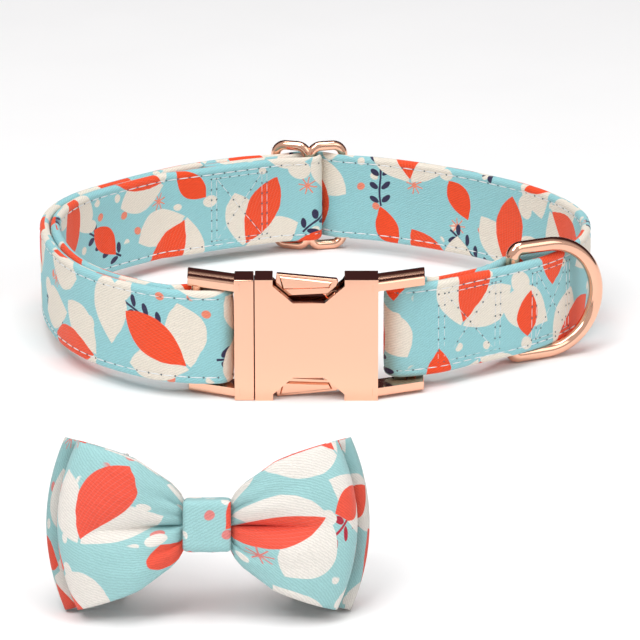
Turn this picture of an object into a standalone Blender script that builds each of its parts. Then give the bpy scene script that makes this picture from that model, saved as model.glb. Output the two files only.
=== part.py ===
"""Pet bow tie collar: a fastened fabric collar standing on edge, with its slip-on bow tie in front of it.

Metres, +Z up. The wearer's neck goes along Z through the loop, and the buckle faces -Y.
The origin is on the surface that both things stand on, at the middle of their common footprint.
"""

import math

import bmesh
import bpy
import numpy as np
from mathutils import Matrix, Vector

MM = 0.001

# Gaps
TOUCH_GAP = 0.3 * MM
RUNNING_GAP = 0.3 * MM

# Collar loop, measured to the outside of the strap
LOOP_WIDTH = 148 * MM
LOOP_DEPTH = 134 * MM

# Strap
STRAP_WIDTH = 25 * MM
STRAP_THICK = 2.6 * MM
STRAP_PINCHED = 1.7 * MM
STRAP_EDGE_ROUND = 0.5 * MM
PINCH_REACH = 22 * MM
STATION_STEP = 5 * MM
STRAP_EASE = 9 * MM
STRAP_READ_STEP = 1 * MM
STRAP_LEAST_STEP = 0.4 * MM
ADJUSTER_TAIL = 14 * MM
TAIL_EASE = 16 * MM
BUCKLE_TAIL = 61 * MM
POCKET_FROM_BUCKLE = 41 * MM
MALE_FOLD_GAP = 0.44 * MM
MALE_BAR_ROW = 12.05 * MM
FEMALE_FOLD_GAP = 3.2 * MM
FEMALE_BAR_ROW = 16.07 * MM
POCKET_REACH = 10 * MM

# Buckle
ARM_HEIGHT = 3.2 * MM
STRAP_SIDE_GAP = 0.5 * MM
METAL_HEIGHT = STRAP_WIDTH + 2 * (ARM_HEIGHT + STRAP_SIDE_GAP)
BUCKLE_INSET = 1 * MM
BUCKLE_CENTRE_X = -2.6 * MM
BODY_LENGTH = 31.4 * MM
BODY_THICK = 8 * MM
PLATE_THICK = 2.1 * MM
BODY_SEAM = 0.3 * MM
BASE_LENGTH = 5 * MM
ARM_LENGTH = 13.1 * MM
ARM_THICK = 7 * MM
ARM_INSET = 0.5 * MM
ARM_ROOT = 1.5 * MM
ARM_ROUND = 1.3 * MM
ARM_BEND = math.radians(24)
CROSSBAR_THICK = 3 * MM
CROSSBAR_FROM_TIP = 2.2 * MM
METAL_ROUND = 0.45 * MM
CUT_PAST = 2 * MM
TONGUE_HEIGHT = 10 * MM
TONGUE_LENGTH = 24 * MM
NOTCH_WIDTH = 18.3 * MM
NOTCH_FLOOR = 8.1 * MM
NOTCH_DEPTH = 6.2 * MM
NOTCH_LIP = 1.7 * MM
NOTCH_OFFSET = -2 * MM
ROOM_ROOF = 1.3 * MM

# Release levers
LEVER_THICK = 3.2 * MM
LEVER_LENGTH = 16 * MM
LEVER_PROUD = -0.1 * MM
LEVER_SIDE_GAP = 0.7 * MM
LEVER_CHAMFER = 0.4 * MM
LEVER_CUT = 2.6 * MM
LEVER_HEEL = 3.2 * MM
LEVER_FOOT_STEP = 0.6 * MM
LEVER_SHOULDER = 1.6 * MM
LEVER_SLOPE = 1.5 * MM
LEVER_PAD = 4.9 * MM
LEVER_PIN_RADIUS = 1 * MM
LEVER_EYE_RADIUS = 2.2 * MM
LEVER_EYE_STEP = 0.2 * MM
LEVER_PIN_INSET = 0.7 * MM
LEVER_PIN_DEPTH = 8 * MM

# Slider
SLIDER_WIDTH = 22 * MM
SLIDER_WIRE = 2.8 * MM
SLIDER_CORNER = 3 * MM
SLIDER_MIDDLE_SPREAD = 0.8 * MM
SLIDER_BOW = 2.5 * MM
SLIDER_SINK = 1 * MM

# Leash ring
D_WIRE = 3.2 * MM
D_EDGE_GAP = 0.4 * MM
D_DEPTH = 27 * MM
D_CORNER_RADIUS = 2.2 * MM
D_SWING = math.radians(14.71)

# Bow tie
BOW_FRONT_HALF = 32.6 * MM
BOW_FRONT_CORNER = 28.2 * MM
BOW_BACK_HALF = 35.3 * MM
BOW_BACK_CORNER = 31.2 * MM
BOW_HALF_HEIGHT = 18.4 * MM
BOW_BACK_EXTRA = 0.5 * MM
CLOTH_THICK = 1.4 * MM
BOW_PUFF = 6.8 * MM
BOW_BACK_PUFF = 1.6 * MM
PLEAT_DEPTH = 2.6 * MM
KNOT_WIDTH = 10.5 * MM
KNOT_HEIGHT = 11.4 * MM
KNOT_WALL = 1.5 * MM
KNOT_FRONT = 3.4 * MM
KNOT_ROUND = 1.1 * MM
ELASTIC_WIDTH = 8 * MM
ELASTIC_FROM_MIDDLE = 22 * MM
ELASTIC_THICK = 1.3 * MM
ELASTIC_SLOT_DEPTH = 9 * MM
BOW_LEAN = math.radians(17.5)
BOW_FRONT_OF_BUCKLE = 136 * MM
BOW_CENTRE_X = -23.9 * MM

# Outside of the strap seen from above, from the male side's fold round the back to the female side's fold.
# Each row is a point: share of half the loop's width, share of half its depth.
LOOP_OUTLINE = (
    ("male fold", -0.289, -0.966),
    ("male bar", -0.446, -0.958),
    ("front left", -0.600, -0.893),
    ("front left turn", -0.780, -0.727),
    ("left front side", -0.906, -0.510),
    ("left side", -0.993, -0.185),
    ("left middle", -1.004, 0.115),
    ("left rear side", -0.912, 0.383),
    ("rear left", -0.716, 0.620),
    ("rear left run", -0.500, 0.821),
    ("rear left end", -0.230, 0.965),
    ("slider", -0.027, 1.005),
    ("rear right end", 0.180, 0.955),
    ("rear right run", 0.430, 0.830),
    ("rear right", 0.676, 0.642),
    ("right rear side", 0.880, 0.400),
    ("right middle", 0.992, 0.110),
    ("right side", 0.985, -0.180),
    ("right front side", 0.885, -0.425),
    ("D-ring turn", 0.735, -0.600),
    ("front right", 0.560, -0.735),
    ("front right turn", 0.430, -0.835),
    ("female fold", 0.238, -0.905),
)
SLIDER_ROW = 11

# Rows beside the buckle keep a distance from its end instead: the end's side, and how far away the row is.
BUCKLE_ROWS = {
    "male fold": (-1, MALE_FOLD_GAP),
    "male bar": (-1, MALE_BAR_ROW),
    "front right turn": (1, FEMALE_BAR_ROW),
    "female fold": (1, FEMALE_FOLD_GAP),
}

# Upper edge of a wing: share of the way from the knot to the wing's corner, share of the growth in height.
WING_EDGE = (
    ("knot", 0.00, 0.00),
    ("gather", 0.05, 0.19),
    ("neck", 0.13, 0.34),
    ("rise", 0.26, 0.49),
    ("shoulder", 0.43, 0.69),
    ("middle", 0.58, 0.79),
    ("outer", 0.72, 0.87),
    ("outer edge", 0.86, 0.94),
    ("turn", 0.95, 0.98),
    ("corner", 1.00, 1.00),
)

MIDDLE_HEIGHT = METAL_HEIGHT / 2
CAVITY_THICK = BODY_THICK - 2 * PLATE_THICK
BODY_FRONT_Y = -LOOP_DEPTH / 2 + BUCKLE_INSET
BODY_MIDDLE_Y = BODY_FRONT_Y + BODY_THICK / 2


def clear_scene():
    for obj in list(bpy.data.objects):
        bpy.data.objects.remove(obj, do_unlink=True)


def make_material(name, colour, roughness, metallic=0.0):
    material = bpy.data.materials.new(name)
    material.use_nodes = True
    shader = material.node_tree.nodes["Principled BSDF"]
    shader.inputs["Base Color"].default_value = (*colour, 1.0)
    shader.inputs["Roughness"].default_value = roughness
    shader.inputs["Metallic"].default_value = metallic
    material.diffuse_color = (*colour, 1.0)
    return material


def add_object(name, mesh, material, parent):
    obj = bpy.data.objects.new(name, mesh)
    bpy.context.scene.collection.objects.link(obj)
    mesh.materials.append(material)
    mesh.shade_smooth()
    mesh.set_sharp_from_angle(angle=math.radians(35))
    obj.parent = parent
    return obj


def mesh_from(bm, name):
    bmesh.ops.recalc_face_normals(bm, faces=bm.faces)
    mesh = bpy.data.meshes.new(name)
    bm.to_mesh(mesh)
    bm.free()
    return mesh


def add_helper(name, mesh):
    """A cutter or filler for a Boolean, which isn't a piece of the collar."""
    obj = bpy.data.objects.new(name, mesh)
    bpy.context.scene.collection.objects.link(obj)
    obj.hide_render = True
    obj.display_type = "WIRE"
    return obj


def box_mesh(name, low, high):
    """A box between two corners."""
    bm = bmesh.new()
    size = [b - a for a, b in zip(low, high)]
    middle = [(a + b) / 2 for a, b in zip(low, high)]
    bmesh.ops.create_cube(bm, size=1, matrix=Matrix.Translation(middle) @ Matrix.Diagonal((*size, 1)))
    return mesh_from(bm, name)


def prism_mesh(name, outline, low_y, high_y):
    """A prism along Y whose outline is a list of (x, z)."""
    bm = bmesh.new()
    face = bm.faces.new([bm.verts.new((x, low_y, z)) for x, z in outline])
    grown = bmesh.ops.extrude_face_region(bm, geom=[face])
    moved = [item for item in grown["geom"] if isinstance(item, bmesh.types.BMVert)]
    bmesh.ops.translate(bm, verts=moved, vec=(0, high_y - low_y, 0))
    return mesh_from(bm, name)


def pin_mesh(name, centre, radius, length, axis):
    """A round pin of the given length, centred on a point."""
    turn = {"Y": Matrix.Rotation(math.pi / 2, 4, "X"), "Z": Matrix.Identity(4)}[axis]
    bm = bmesh.new()
    bmesh.ops.create_cone(
        bm,
        cap_ends=True,
        segments=12,
        radius1=radius,
        radius2=radius,
        depth=length,
        matrix=Matrix.Translation(centre) @ turn,
    )
    return mesh_from(bm, name)


def apply_boolean(obj, helper, operation, parent=None):
    helper.parent = parent or obj.parent
    modifier = obj.modifiers.new(helper.name, "BOOLEAN")
    modifier.operation = operation
    modifier.object = helper


def round_edges(obj, width, segments=2):
    bevel = obj.modifiers.new("rounded edges", "BEVEL")
    bevel.width = width
    bevel.segments = segments
    bevel.limit_method = "ANGLE"
    bevel.angle_limit = math.radians(35)


# Strap route

def smooth_through(points, per_span):
    """Points on one smooth curve through the given points, as a Catmull-Rom spline with its ends extended."""
    points = [np.array(p) for p in points]
    ends = [2 * points[0] - points[1], *points, 2 * points[-1] - points[-2]]
    found = []
    for a, b, c, d in zip(ends, ends[1:], ends[2:], ends[3:]):
        square = 2 * a - 5 * b + 4 * c - d
        cube = 3 * b - a - 3 * c + d
        for step in range(per_span):
            t = step / per_span
            found.append(b + ((c - a) * t + square * t**2 + cube * t**3) / 2)
    found.append(points[-1])
    return np.array(found)


class Outline:
    """The strap's outside seen from above, read by the length along it."""

    def __init__(self):
        rows = {name: [x * LOOP_WIDTH / 2, y * LOOP_DEPTH / 2] for name, x, y in LOOP_OUTLINE}
        for name, (side, away) in BUCKLE_ROWS.items():
            rows[name][0] = buckle_end(side) + side * away
        per_span = 16
        self.points = smooth_through(rows.values(), per_span)
        steps = np.linalg.norm(np.diff(self.points, axis=0), axis=1)
        self.along = np.concatenate([[0], np.cumsum(steps)])
        self.length = self.along[-1]
        self.slider = self.along[SLIDER_ROW * per_span]

    def frame(self, along):
        """Place, heading and inward direction at a length along the outline."""
        ends = [self.read(along - STRAP_READ_STEP), self.read(along + STRAP_READ_STEP)]
        heading = (ends[1] - ends[0]) / np.linalg.norm(ends[1] - ends[0])
        return self.read(along), heading, np.array([heading[1], -heading[0]])

    def read(self, along):
        return np.array([np.interp(along, self.along, self.points[:, axis]) for axis in (0, 1)])

    def inside(self, along, depth):
        place, _, inward = self.frame(along)
        return place + inward * depth

    def at_x(self, x, from_start):
        """Length along the outline, near one of its two ends, where it passes a given x."""
        near = self.along < self.length / 4 if from_start else self.along > self.length * 3 / 4
        order = np.argsort(self.points[near, 0])
        return float(np.interp(x, self.points[near, 0][order], self.along[near][order]))


def belt(turns):
    """The path of a belt round circles, each (centre, radius). A positive radius has the centre on its left."""
    headings = []
    for (a, ra), (b, rb) in zip(turns, turns[1:]):
        way = b - a
        span = np.linalg.norm(way)
        headings.append(math.atan2(way[1], way[0]) - math.asin(max(-1, min(1, (rb - ra) / span))))
    headings = [headings[0], *headings, headings[-1]]
    path = []
    for (centre, radius), start, end in zip(turns, headings, headings[1:]):
        sweep = (end - start + math.pi) % (2 * math.pi) - math.pi
        if radius and abs(sweep) > math.radians(150):
            sweep = math.copysign(abs(sweep), radius)
        wraps = radius * sweep > 0
        steps = max(1, math.ceil(abs(sweep) / math.radians(22))) if wraps else 0
        shares = [k / steps for k in range(steps + 1)] if steps else [0.5]
        for share in shares:
            angle = start + sweep * share
            path.append(centre + radius * np.array([math.sin(angle), -math.cos(angle)]))
    return path


def strap_route(outline, slider, male_bar, female_bar, d_bar):
    """Middle line of the strap from its first sewn end to its last one, as (x, y) points."""
    half = STRAP_THICK / 2
    layer = STRAP_THICK + TOUCH_GAP
    wrap = CROSSBAR_THICK / 2 + TOUCH_GAP + half
    male_fold = outline.inside(0, half + wrap) + outline.frame(0)[1] * (wrap + half)
    end = outline.length
    female_fold = outline.inside(end, half + wrap) - outline.frame(end)[1] * (wrap + half)
    pinched = STRAP_PINCHED + TOUCH_GAP
    beside_wire = SLIDER_WIRE / 2 + TOUCH_GAP + STRAP_PINCHED / 2
    from_slider = SLIDER_WIDTH / 2 + STRAP_EASE

    def run(first, last, depth):
        """Plain stretch of one layer between two lengths along the outline."""
        count = max(2, round(abs(last - first) / STATION_STEP))
        return [(outline.inside(u, depth), 0.0) for u in np.linspace(first, last, count)]

    male_along = outline.at_x(male_bar[0], True)
    female_along = outline.at_x(female_bar[0], False)
    pocket = end - POCKET_FROM_BUCKLE
    before = outline.slider - from_slider
    after = outline.slider + from_slider
    tail_start = before - ADJUSTER_TAIL
    turns = run(tail_start, before, half + layer)
    turns += [(slider["left"], beside_wire + pinched)]
    turns += [(slider["middle left"], -beside_wire), (slider["middle right"], -beside_wire)]
    turns += [(slider["left"], -beside_wire - 2 * pinched)]
    turns += run(before, tail_start, half + 2 * layer)
    turns += run(tail_start - TAIL_EASE, male_along + STRAP_EASE, half + layer)
    turns += [(male_bar, -wrap), (male_fold, -wrap), (male_bar, -wrap)]
    turns += run(male_along + STRAP_EASE, before, half)
    turns += [(slider["left"], beside_wire)]
    turns += [(slider["middle left"], -beside_wire - pinched)]
    turns += [(slider["middle right"], -beside_wire - pinched)]
    turns += [(slider["right"], beside_wire)]
    turns += run(after, female_along - STRAP_EASE, half)
    turns += [(female_bar, -wrap), (female_fold, -wrap), (female_bar, -wrap)]
    turns += run(female_along - STRAP_EASE, pocket + POCKET_REACH, half + layer)
    turns += [(d_bar, -(D_WIRE / 2 + TOUCH_GAP + half))]
    turns += run(pocket - POCKET_REACH, end - BUCKLE_TAIL, half + layer)
    return belt(turns)


def mitred_sides(route):
    """Sideways direction at each point of a route, lengthened at corners to keep the strap's thickness."""
    steps = np.diff(route, axis=0)
    steps /= np.linalg.norm(steps, axis=1)[:, None]
    before = np.vstack([steps[:1], steps])
    after = np.vstack([steps, steps[-1:]])
    ahead = before + after
    ahead /= np.linalg.norm(ahead, axis=1)[:, None]
    mitre = 1 / np.maximum(0.7, (ahead * after).sum(axis=1))
    return np.stack([ahead[:, 1], -ahead[:, 0]], axis=1) * mitre[:, None]


def make_strap(outline, slider, male_bar, female_bar, d_bar, material, parent):
    """The strap, as a strip laid out along its route and then raised to its width."""
    route = np.array(strap_route(outline, slider, male_bar, female_bar, d_bar))
    keep = [0]
    for index in range(1, len(route)):
        if np.linalg.norm(route[index] - route[keep[-1]]) > STRAP_LEAST_STEP:
            keep.append(index)
    route = route[keep]
    side = mitred_sides(route)
    centre = outline.inside(outline.slider, 0)
    bm = bmesh.new()
    edge = None
    for place, across in zip(route, side):
        near = min(1.0, np.linalg.norm(place - centre) / PINCH_REACH)
        share = max(0.0, min(1.0, 2 * near - 1))
        thick = STRAP_PINCHED + (STRAP_THICK - STRAP_PINCHED) * share * share * (3 - 2 * share)
        if edge is None:
            edge = bm.edges.new([bm.verts.new(), bm.verts.new()])
        else:
            grown = bmesh.ops.extrude_edge_only(bm, edges=[edge])["geom"]
            edge = next(item for item in grown if isinstance(item, bmesh.types.BMEdge))
        for vert, sign in zip(edge.verts, (-0.5, 0.5)):
            vert.co = (*(place + across * thick * sign), MIDDLE_HEIGHT - STRAP_WIDTH / 2)
    raised = bmesh.ops.extrude_face_region(bm, geom=list(bm.faces))["geom"]
    bmesh.ops.translate(
        bm, verts=[item for item in raised if isinstance(item, bmesh.types.BMVert)], vec=(0, 0, STRAP_WIDTH)
    )
    bmesh.ops.recalc_face_normals(bm, faces=bm.faces)
    rims = [
        e for e in bm.edges
        if len(e.link_faces) == 2 and sum(abs(f.normal.z) > 0.9 for f in e.link_faces) == 1
    ]
    bmesh.ops.bevel(
        bm, geom=rims, offset=STRAP_EDGE_ROUND, segments=1, profile=0.5, affect="EDGES", material=-1
    )
    return add_object("strap", mesh_from(bm, "strap"), material, parent)


# Buckle

def arm_frame(end_x, side):
    """Start, direction and back direction, seen from above, of the arms at one end of the buckle."""
    along = np.array([side * math.cos(ARM_BEND), math.sin(ARM_BEND)])
    back = np.array([-side * math.sin(ARM_BEND), math.cos(ARM_BEND)])
    start = np.array([end_x, BODY_FRONT_Y + ARM_INSET])
    return start, along, back


def crossbar_place(end_x, side, outline):
    """Middle of a strap bar: near the arms' tips, and deep enough for the strap's outer layer to pass it."""
    start, along, _ = arm_frame(end_x, side)
    x = (start + along * (ARM_LENGTH - CROSSBAR_FROM_TIP))[0]
    along_outline = outline.at_x(x, side < 0)
    depth = STRAP_THICK + TOUCH_GAP + CROSSBAR_THICK / 2
    return outline.inside(along_outline, depth)


def add_arms(obj, end_x, side, bar, prefix):
    """Two arms bent back from one end of the buckle, and the bar between them that holds the strap."""
    start, along, back = arm_frame(end_x, side)
    root = start + np.array([-side * ARM_ROOT, ARM_INSET / 2])
    tip = start + along * ARM_LENGTH
    for name, low in (("lower", ARM_INSET), ("upper", METAL_HEIGHT - ARM_HEIGHT)):
        bm = bmesh.new()
        corners = [root, tip, tip + back * ARM_THICK, root + back * ARM_THICK]
        face = bm.faces.new([bm.verts.new((*corner, low)) for corner in corners])
        grown = bmesh.ops.extrude_face_region(bm, geom=[face])["geom"]
        moved = [item for item in grown if isinstance(item, bmesh.types.BMVert)]
        bmesh.ops.translate(bm, verts=moved, vec=(0, 0, ARM_HEIGHT - ARM_INSET))
        outer = low if name == "lower" else low + ARM_HEIGHT - ARM_INSET
        rounded = [e for e in bm.edges if all(abs(v.co.z - outer) < STRAP_SIDE_GAP for v in e.verts)]
        bmesh.ops.bevel(
            bm, geom=rounded, offset=ARM_ROUND, segments=3, profile=0.5, affect="EDGES", material=-1
        )
        apply_boolean(obj, add_helper(f"{prefix}_{name}_arm_shape", mesh_from(bm, name)), "UNION")
    reach = METAL_HEIGHT - ARM_HEIGHT
    bar_mesh = pin_mesh("bar", (*bar, MIDDLE_HEIGHT), CROSSBAR_THICK / 2, reach, "Z")
    apply_boolean(obj, add_helper(f"{prefix}_bar_shape", bar_mesh), "UNION")


def notch_outline(top):
    """Notch for a lever pad, open at the top or at the bottom edge of the body."""
    middle = BUCKLE_CENTRE_X + body_shift() + NOTCH_OFFSET
    shape = (
        (-NOTCH_WIDTH / 2, -CUT_PAST),
        (-NOTCH_WIDTH / 2, NOTCH_LIP),
        (-NOTCH_FLOOR / 2, NOTCH_DEPTH),
        (NOTCH_FLOOR / 2, NOTCH_DEPTH),
        (NOTCH_WIDTH / 2, NOTCH_LIP),
        (NOTCH_WIDTH / 2, -CUT_PAST),
    )
    return [(middle + x, METAL_HEIGHT - depth if top else depth) for x, depth in shape]


def body_shift():
    """How far the body's middle lies from the middle of the whole buckle, because of the base beside it."""
    return (BASE_LENGTH + BODY_SEAM) / 2


def body_ends():
    middle = BUCKLE_CENTRE_X + body_shift()
    return middle - BODY_LENGTH / 2, middle + BODY_LENGTH / 2


def buckle_end(side):
    """The base's outer end on the male side, -1, or the body's outer end on the female side, 1."""
    left, right = body_ends()
    return right if side > 0 else left - BODY_SEAM - BASE_LENGTH


def lever_pin(top):
    """Place of a lever's pin: right of the notch and deep in the body."""
    x = BUCKLE_CENTRE_X + body_shift() + NOTCH_OFFSET + NOTCH_WIDTH / 2 + LEVER_PIN_INSET
    return x, METAL_HEIGHT - LEVER_PIN_DEPTH if top else LEVER_PIN_DEPTH


def make_buckle_female(bar, material, parent):
    """Body plates with the cavity for the tongue and levers, the levers' pins and the strap loop."""
    left, right = body_ends()
    front = BODY_FRONT_Y
    back = front + BODY_THICK
    block = box_mesh("body", (left, front, 0), (right, back, METAL_HEIGHT))
    body = add_object("buckle_female", block, material, parent)
    add_arms(body, right, 1, bar, "female")
    past = CUT_PAST
    near = BODY_MIDDLE_Y - CAVITY_THICK / 2
    far = BODY_MIDDLE_Y + CAVITY_THICK / 2
    notch = notch_outline(True)
    pin_x = lever_pin(True)[0]
    mouth_left = notch[0][0] - CUT_PAST / 2
    mouth_right = notch[-1][0]
    room_right = pin_x + LEVER_EYE_RADIUS + RUNNING_GAP + LEVER_EYE_STEP
    roof = NOTCH_LIP + ROOM_ROOF
    floor = METAL_HEIGHT - roof
    slot = TONGUE_HEIGHT / 2 + RUNNING_GAP
    low = MIDDLE_HEIGHT - slot
    high = MIDDLE_HEIGHT + slot
    cuts = {
        "upper_notch": prism_mesh("notch", notch, front - past, back + past),
        "lower_notch": prism_mesh("notch", notch_outline(False), front - past, back + past),
        "lever_room": box_mesh("room", (mouth_left, near, roof), (room_right, far, floor)),
        "lever_mouth": box_mesh("mouth", (mouth_left, near, -past), (mouth_right, far, METAL_HEIGHT + past)),
        "tongue_slot": box_mesh("slot", (left - past, near, low), (pin_x, far, high)),
    }
    for name, mesh in cuts.items():
        apply_boolean(body, add_helper(f"{name}_cut", mesh), "DIFFERENCE")
    for name, top in (("upper", True), ("lower", False)):
        x, z = lever_pin(top)
        length = CAVITY_THICK + PLATE_THICK
        pin = pin_mesh("pin", (x, BODY_MIDDLE_Y, z), LEVER_PIN_RADIUS, length, "Y")
        apply_boolean(body, add_helper(f"{name}_pin_shape", pin), "UNION")
    round_edges(body, METAL_ROUND)
    return body


def make_buckle_male(bar, material, parent):
    """Base bar with the tongue that goes into the body, and the strap loop."""
    right = body_ends()[0] - BODY_SEAM
    left = right - BASE_LENGTH
    front = BODY_FRONT_Y
    block = box_mesh("base", (left, front, 0), (right, front + BODY_THICK, METAL_HEIGHT))
    base = add_object("buckle_male", block, material, parent)
    add_arms(base, left, -1, bar, "male")
    half = CAVITY_THICK / 2 - RUNNING_GAP
    tongue = box_mesh(
        "tongue",
        (right - BASE_LENGTH / 2, BODY_MIDDLE_Y - half, MIDDLE_HEIGHT - TONGUE_HEIGHT / 2),
        (right + TONGUE_LENGTH - LEVER_EYE_RADIUS, BODY_MIDDLE_Y + half, MIDDLE_HEIGHT + TONGUE_HEIGHT / 2),
    )
    apply_boolean(base, add_helper("tongue_shape", tongue), "UNION")
    round_edges(base, METAL_ROUND)
    return base


def make_lever(name, top, material, parent):
    """A release pad with a raised panel, on an arm that ends in an eye round its pin."""
    pin_x, pin_z = lever_pin(top)
    left = notch_outline(top)[0][0] + LEVER_SIDE_GAP
    right = left + LEVER_LENGTH
    edge = METAL_HEIGHT + LEVER_PROUD
    foot = METAL_HEIGHT - LEVER_PAD
    outline = [
        (left + LEVER_CHAMFER, edge),
        (left, edge - LEVER_CUT),
        (left + LEVER_CUT, foot),
        (right - LEVER_HEEL, foot - LEVER_FOOT_STEP),
        (pin_x, METAL_HEIGHT - LEVER_PIN_DEPTH - LEVER_EYE_RADIUS * 0.8),
        (pin_x + LEVER_EYE_RADIUS * 0.5, METAL_HEIGHT - LEVER_PIN_DEPTH + LEVER_EYE_RADIUS * 0.7),
        (right, foot + LEVER_SHOULDER),
        (right - LEVER_CHAMFER, edge - LEVER_SLOPE),
    ]
    if not top:
        outline = [(x, METAL_HEIGHT - z) for x, z in outline]
    pivot = Vector((pin_x, BODY_MIDDLE_Y, pin_z))
    outline = [(x - pivot.x, z - pivot.z) for x, z in outline]
    mesh = prism_mesh(name, outline, -LEVER_THICK / 2, LEVER_THICK / 2)
    lever = add_object(name, mesh, material, parent)
    lever.location = pivot
    eye_mesh = pin_mesh("eye", (0, 0, 0), LEVER_EYE_RADIUS, LEVER_THICK - LEVER_EYE_STEP, "Y")
    eye = add_helper(f"{name}_eye_shape", eye_mesh)
    hole_radius = LEVER_PIN_RADIUS + RUNNING_GAP
    hole = add_helper(f"{name}_hole_cut", pin_mesh("hole", (0, 0, 0), hole_radius, 2 * LEVER_THICK, "Y"))
    for helper, operation in ((eye, "UNION"), (hole, "DIFFERENCE")):
        apply_boolean(lever, helper, operation, lever)
    round_edges(lever, METAL_ROUND * 0.8, 1)
    return lever


# Slider and leash ring

def make_tube(name, points, wire, tilt=0.0):
    """A closed loop of round wire. A tilt turns the facets of its section."""
    curve = bpy.data.curves.new(name, "CURVE")
    curve.dimensions = "3D"
    curve.bevel_depth = wire / 2
    curve.bevel_resolution = 3
    curve.use_fill_caps = True
    spline = curve.splines.new("POLY")
    spline.points.add(len(points) - 1)
    for point, place in zip(spline.points, points):
        point.co = (*place, 1)
        point.tilt = tilt
    spline.use_cyclic_u = True
    obj = bpy.data.objects.new(name, curve)
    bpy.context.scene.collection.objects.link(obj)
    return obj


def slider_places(outline):
    """Plan places of the slider's bars: the outer ones outside the strap, the middle one further in."""
    place, heading, inward = outline.frame(outline.slider)
    half = (SLIDER_WIDTH - SLIDER_WIRE) / 2
    spread = SLIDER_MIDDLE_SPREAD / 2
    deep = SLIDER_SINK + SLIDER_BOW
    return {
        "left": place - heading * half + inward * SLIDER_SINK,
        "right": place + heading * half + inward * SLIDER_SINK,
        "middle left": place - heading * spread + inward * deep,
        "middle right": place + heading * spread + inward * deep,
    }


def slider_ring(name, outer, middle, tilt):
    """One of the slider's two upright rings, a rectangle of wire with round corners, as a closed mesh."""
    outer = Vector((*outer, MIDDLE_HEIGHT))
    middle = Vector((*middle, MIDDLE_HEIGHT))
    centre = (outer + middle) / 2
    across = (outer - middle).normalized()
    wide = (outer - middle).length / 2 - SLIDER_CORNER
    high = (METAL_HEIGHT - SLIDER_WIRE) / 2 - SLIDER_CORNER
    points = []
    for quarter, (x, z) in enumerate(((wide, high), (-wide, high), (-wide, -high), (wide, -high))):
        for k in range(6):
            angle = math.radians(90 * quarter + 18 * k)
            turn_x = x + SLIDER_CORNER * math.cos(angle)
            turn_z = z + SLIDER_CORNER * math.sin(angle)
            points.append(centre + across * turn_x + Vector((0, 0, turn_z)))
    curve = make_tube(name, points, SLIDER_WIRE, tilt)
    mesh = bpy.data.meshes.new_from_object(curve.evaluated_get(bpy.context.evaluated_depsgraph_get()))
    bpy.data.objects.remove(curve, do_unlink=True)
    return mesh


def make_slider(places, material, parent):
    left = slider_ring("slider_left", places["left"], places["middle left"], 0.0)
    right = slider_ring("slider_right", places["right"], places["middle right"], math.radians(11))
    slider = add_object("slider", left, material, parent)
    apply_boolean(slider, add_helper("slider_right_shape", right), "UNION")
    return slider


def make_d_ring(bar, heading, material, parent):
    """Leash ring: a straight bar in the strap's pocket, and a bow that hangs outside the strap."""
    half = STRAP_WIDTH / 2 + D_EDGE_GAP + D_WIRE / 2
    run = D_DEPTH - D_WIRE / 2 - half
    corner = D_CORNER_RADIUS
    points = []
    for x, z, radius, start in (
        (corner, half - corner, corner, 180),
        (run, 0, half, 90),
        (corner, corner - half, corner, -90),
    ):
        sweep = 180 if radius == half else 90
        steps = 16 if radius == half else 4
        for k in range(steps + 1):
            angle = math.radians(start - sweep * k / steps)
            points.append((x + radius * math.cos(angle), 0, z + radius * math.sin(angle)))
    ring = make_tube("d_ring", points, D_WIRE)
    ring.data.materials.append(material)
    ring.parent = parent
    ring.location = (*bar, MIDDLE_HEIGHT)
    ring.rotation_euler = (0, 0, math.atan2(-heading[1], -heading[0]) - D_SWING)
    return ring


# Bow tie

def wing_height(share, bundle, full):
    """Half the height of a wing at a share of the way from the knot to its corner."""
    shares = [row[1] for row in WING_EDGE]
    grown = [row[2] for row in WING_EDGE]
    return bundle + (full - bundle) * float(np.interp(share, shares, grown))


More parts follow.
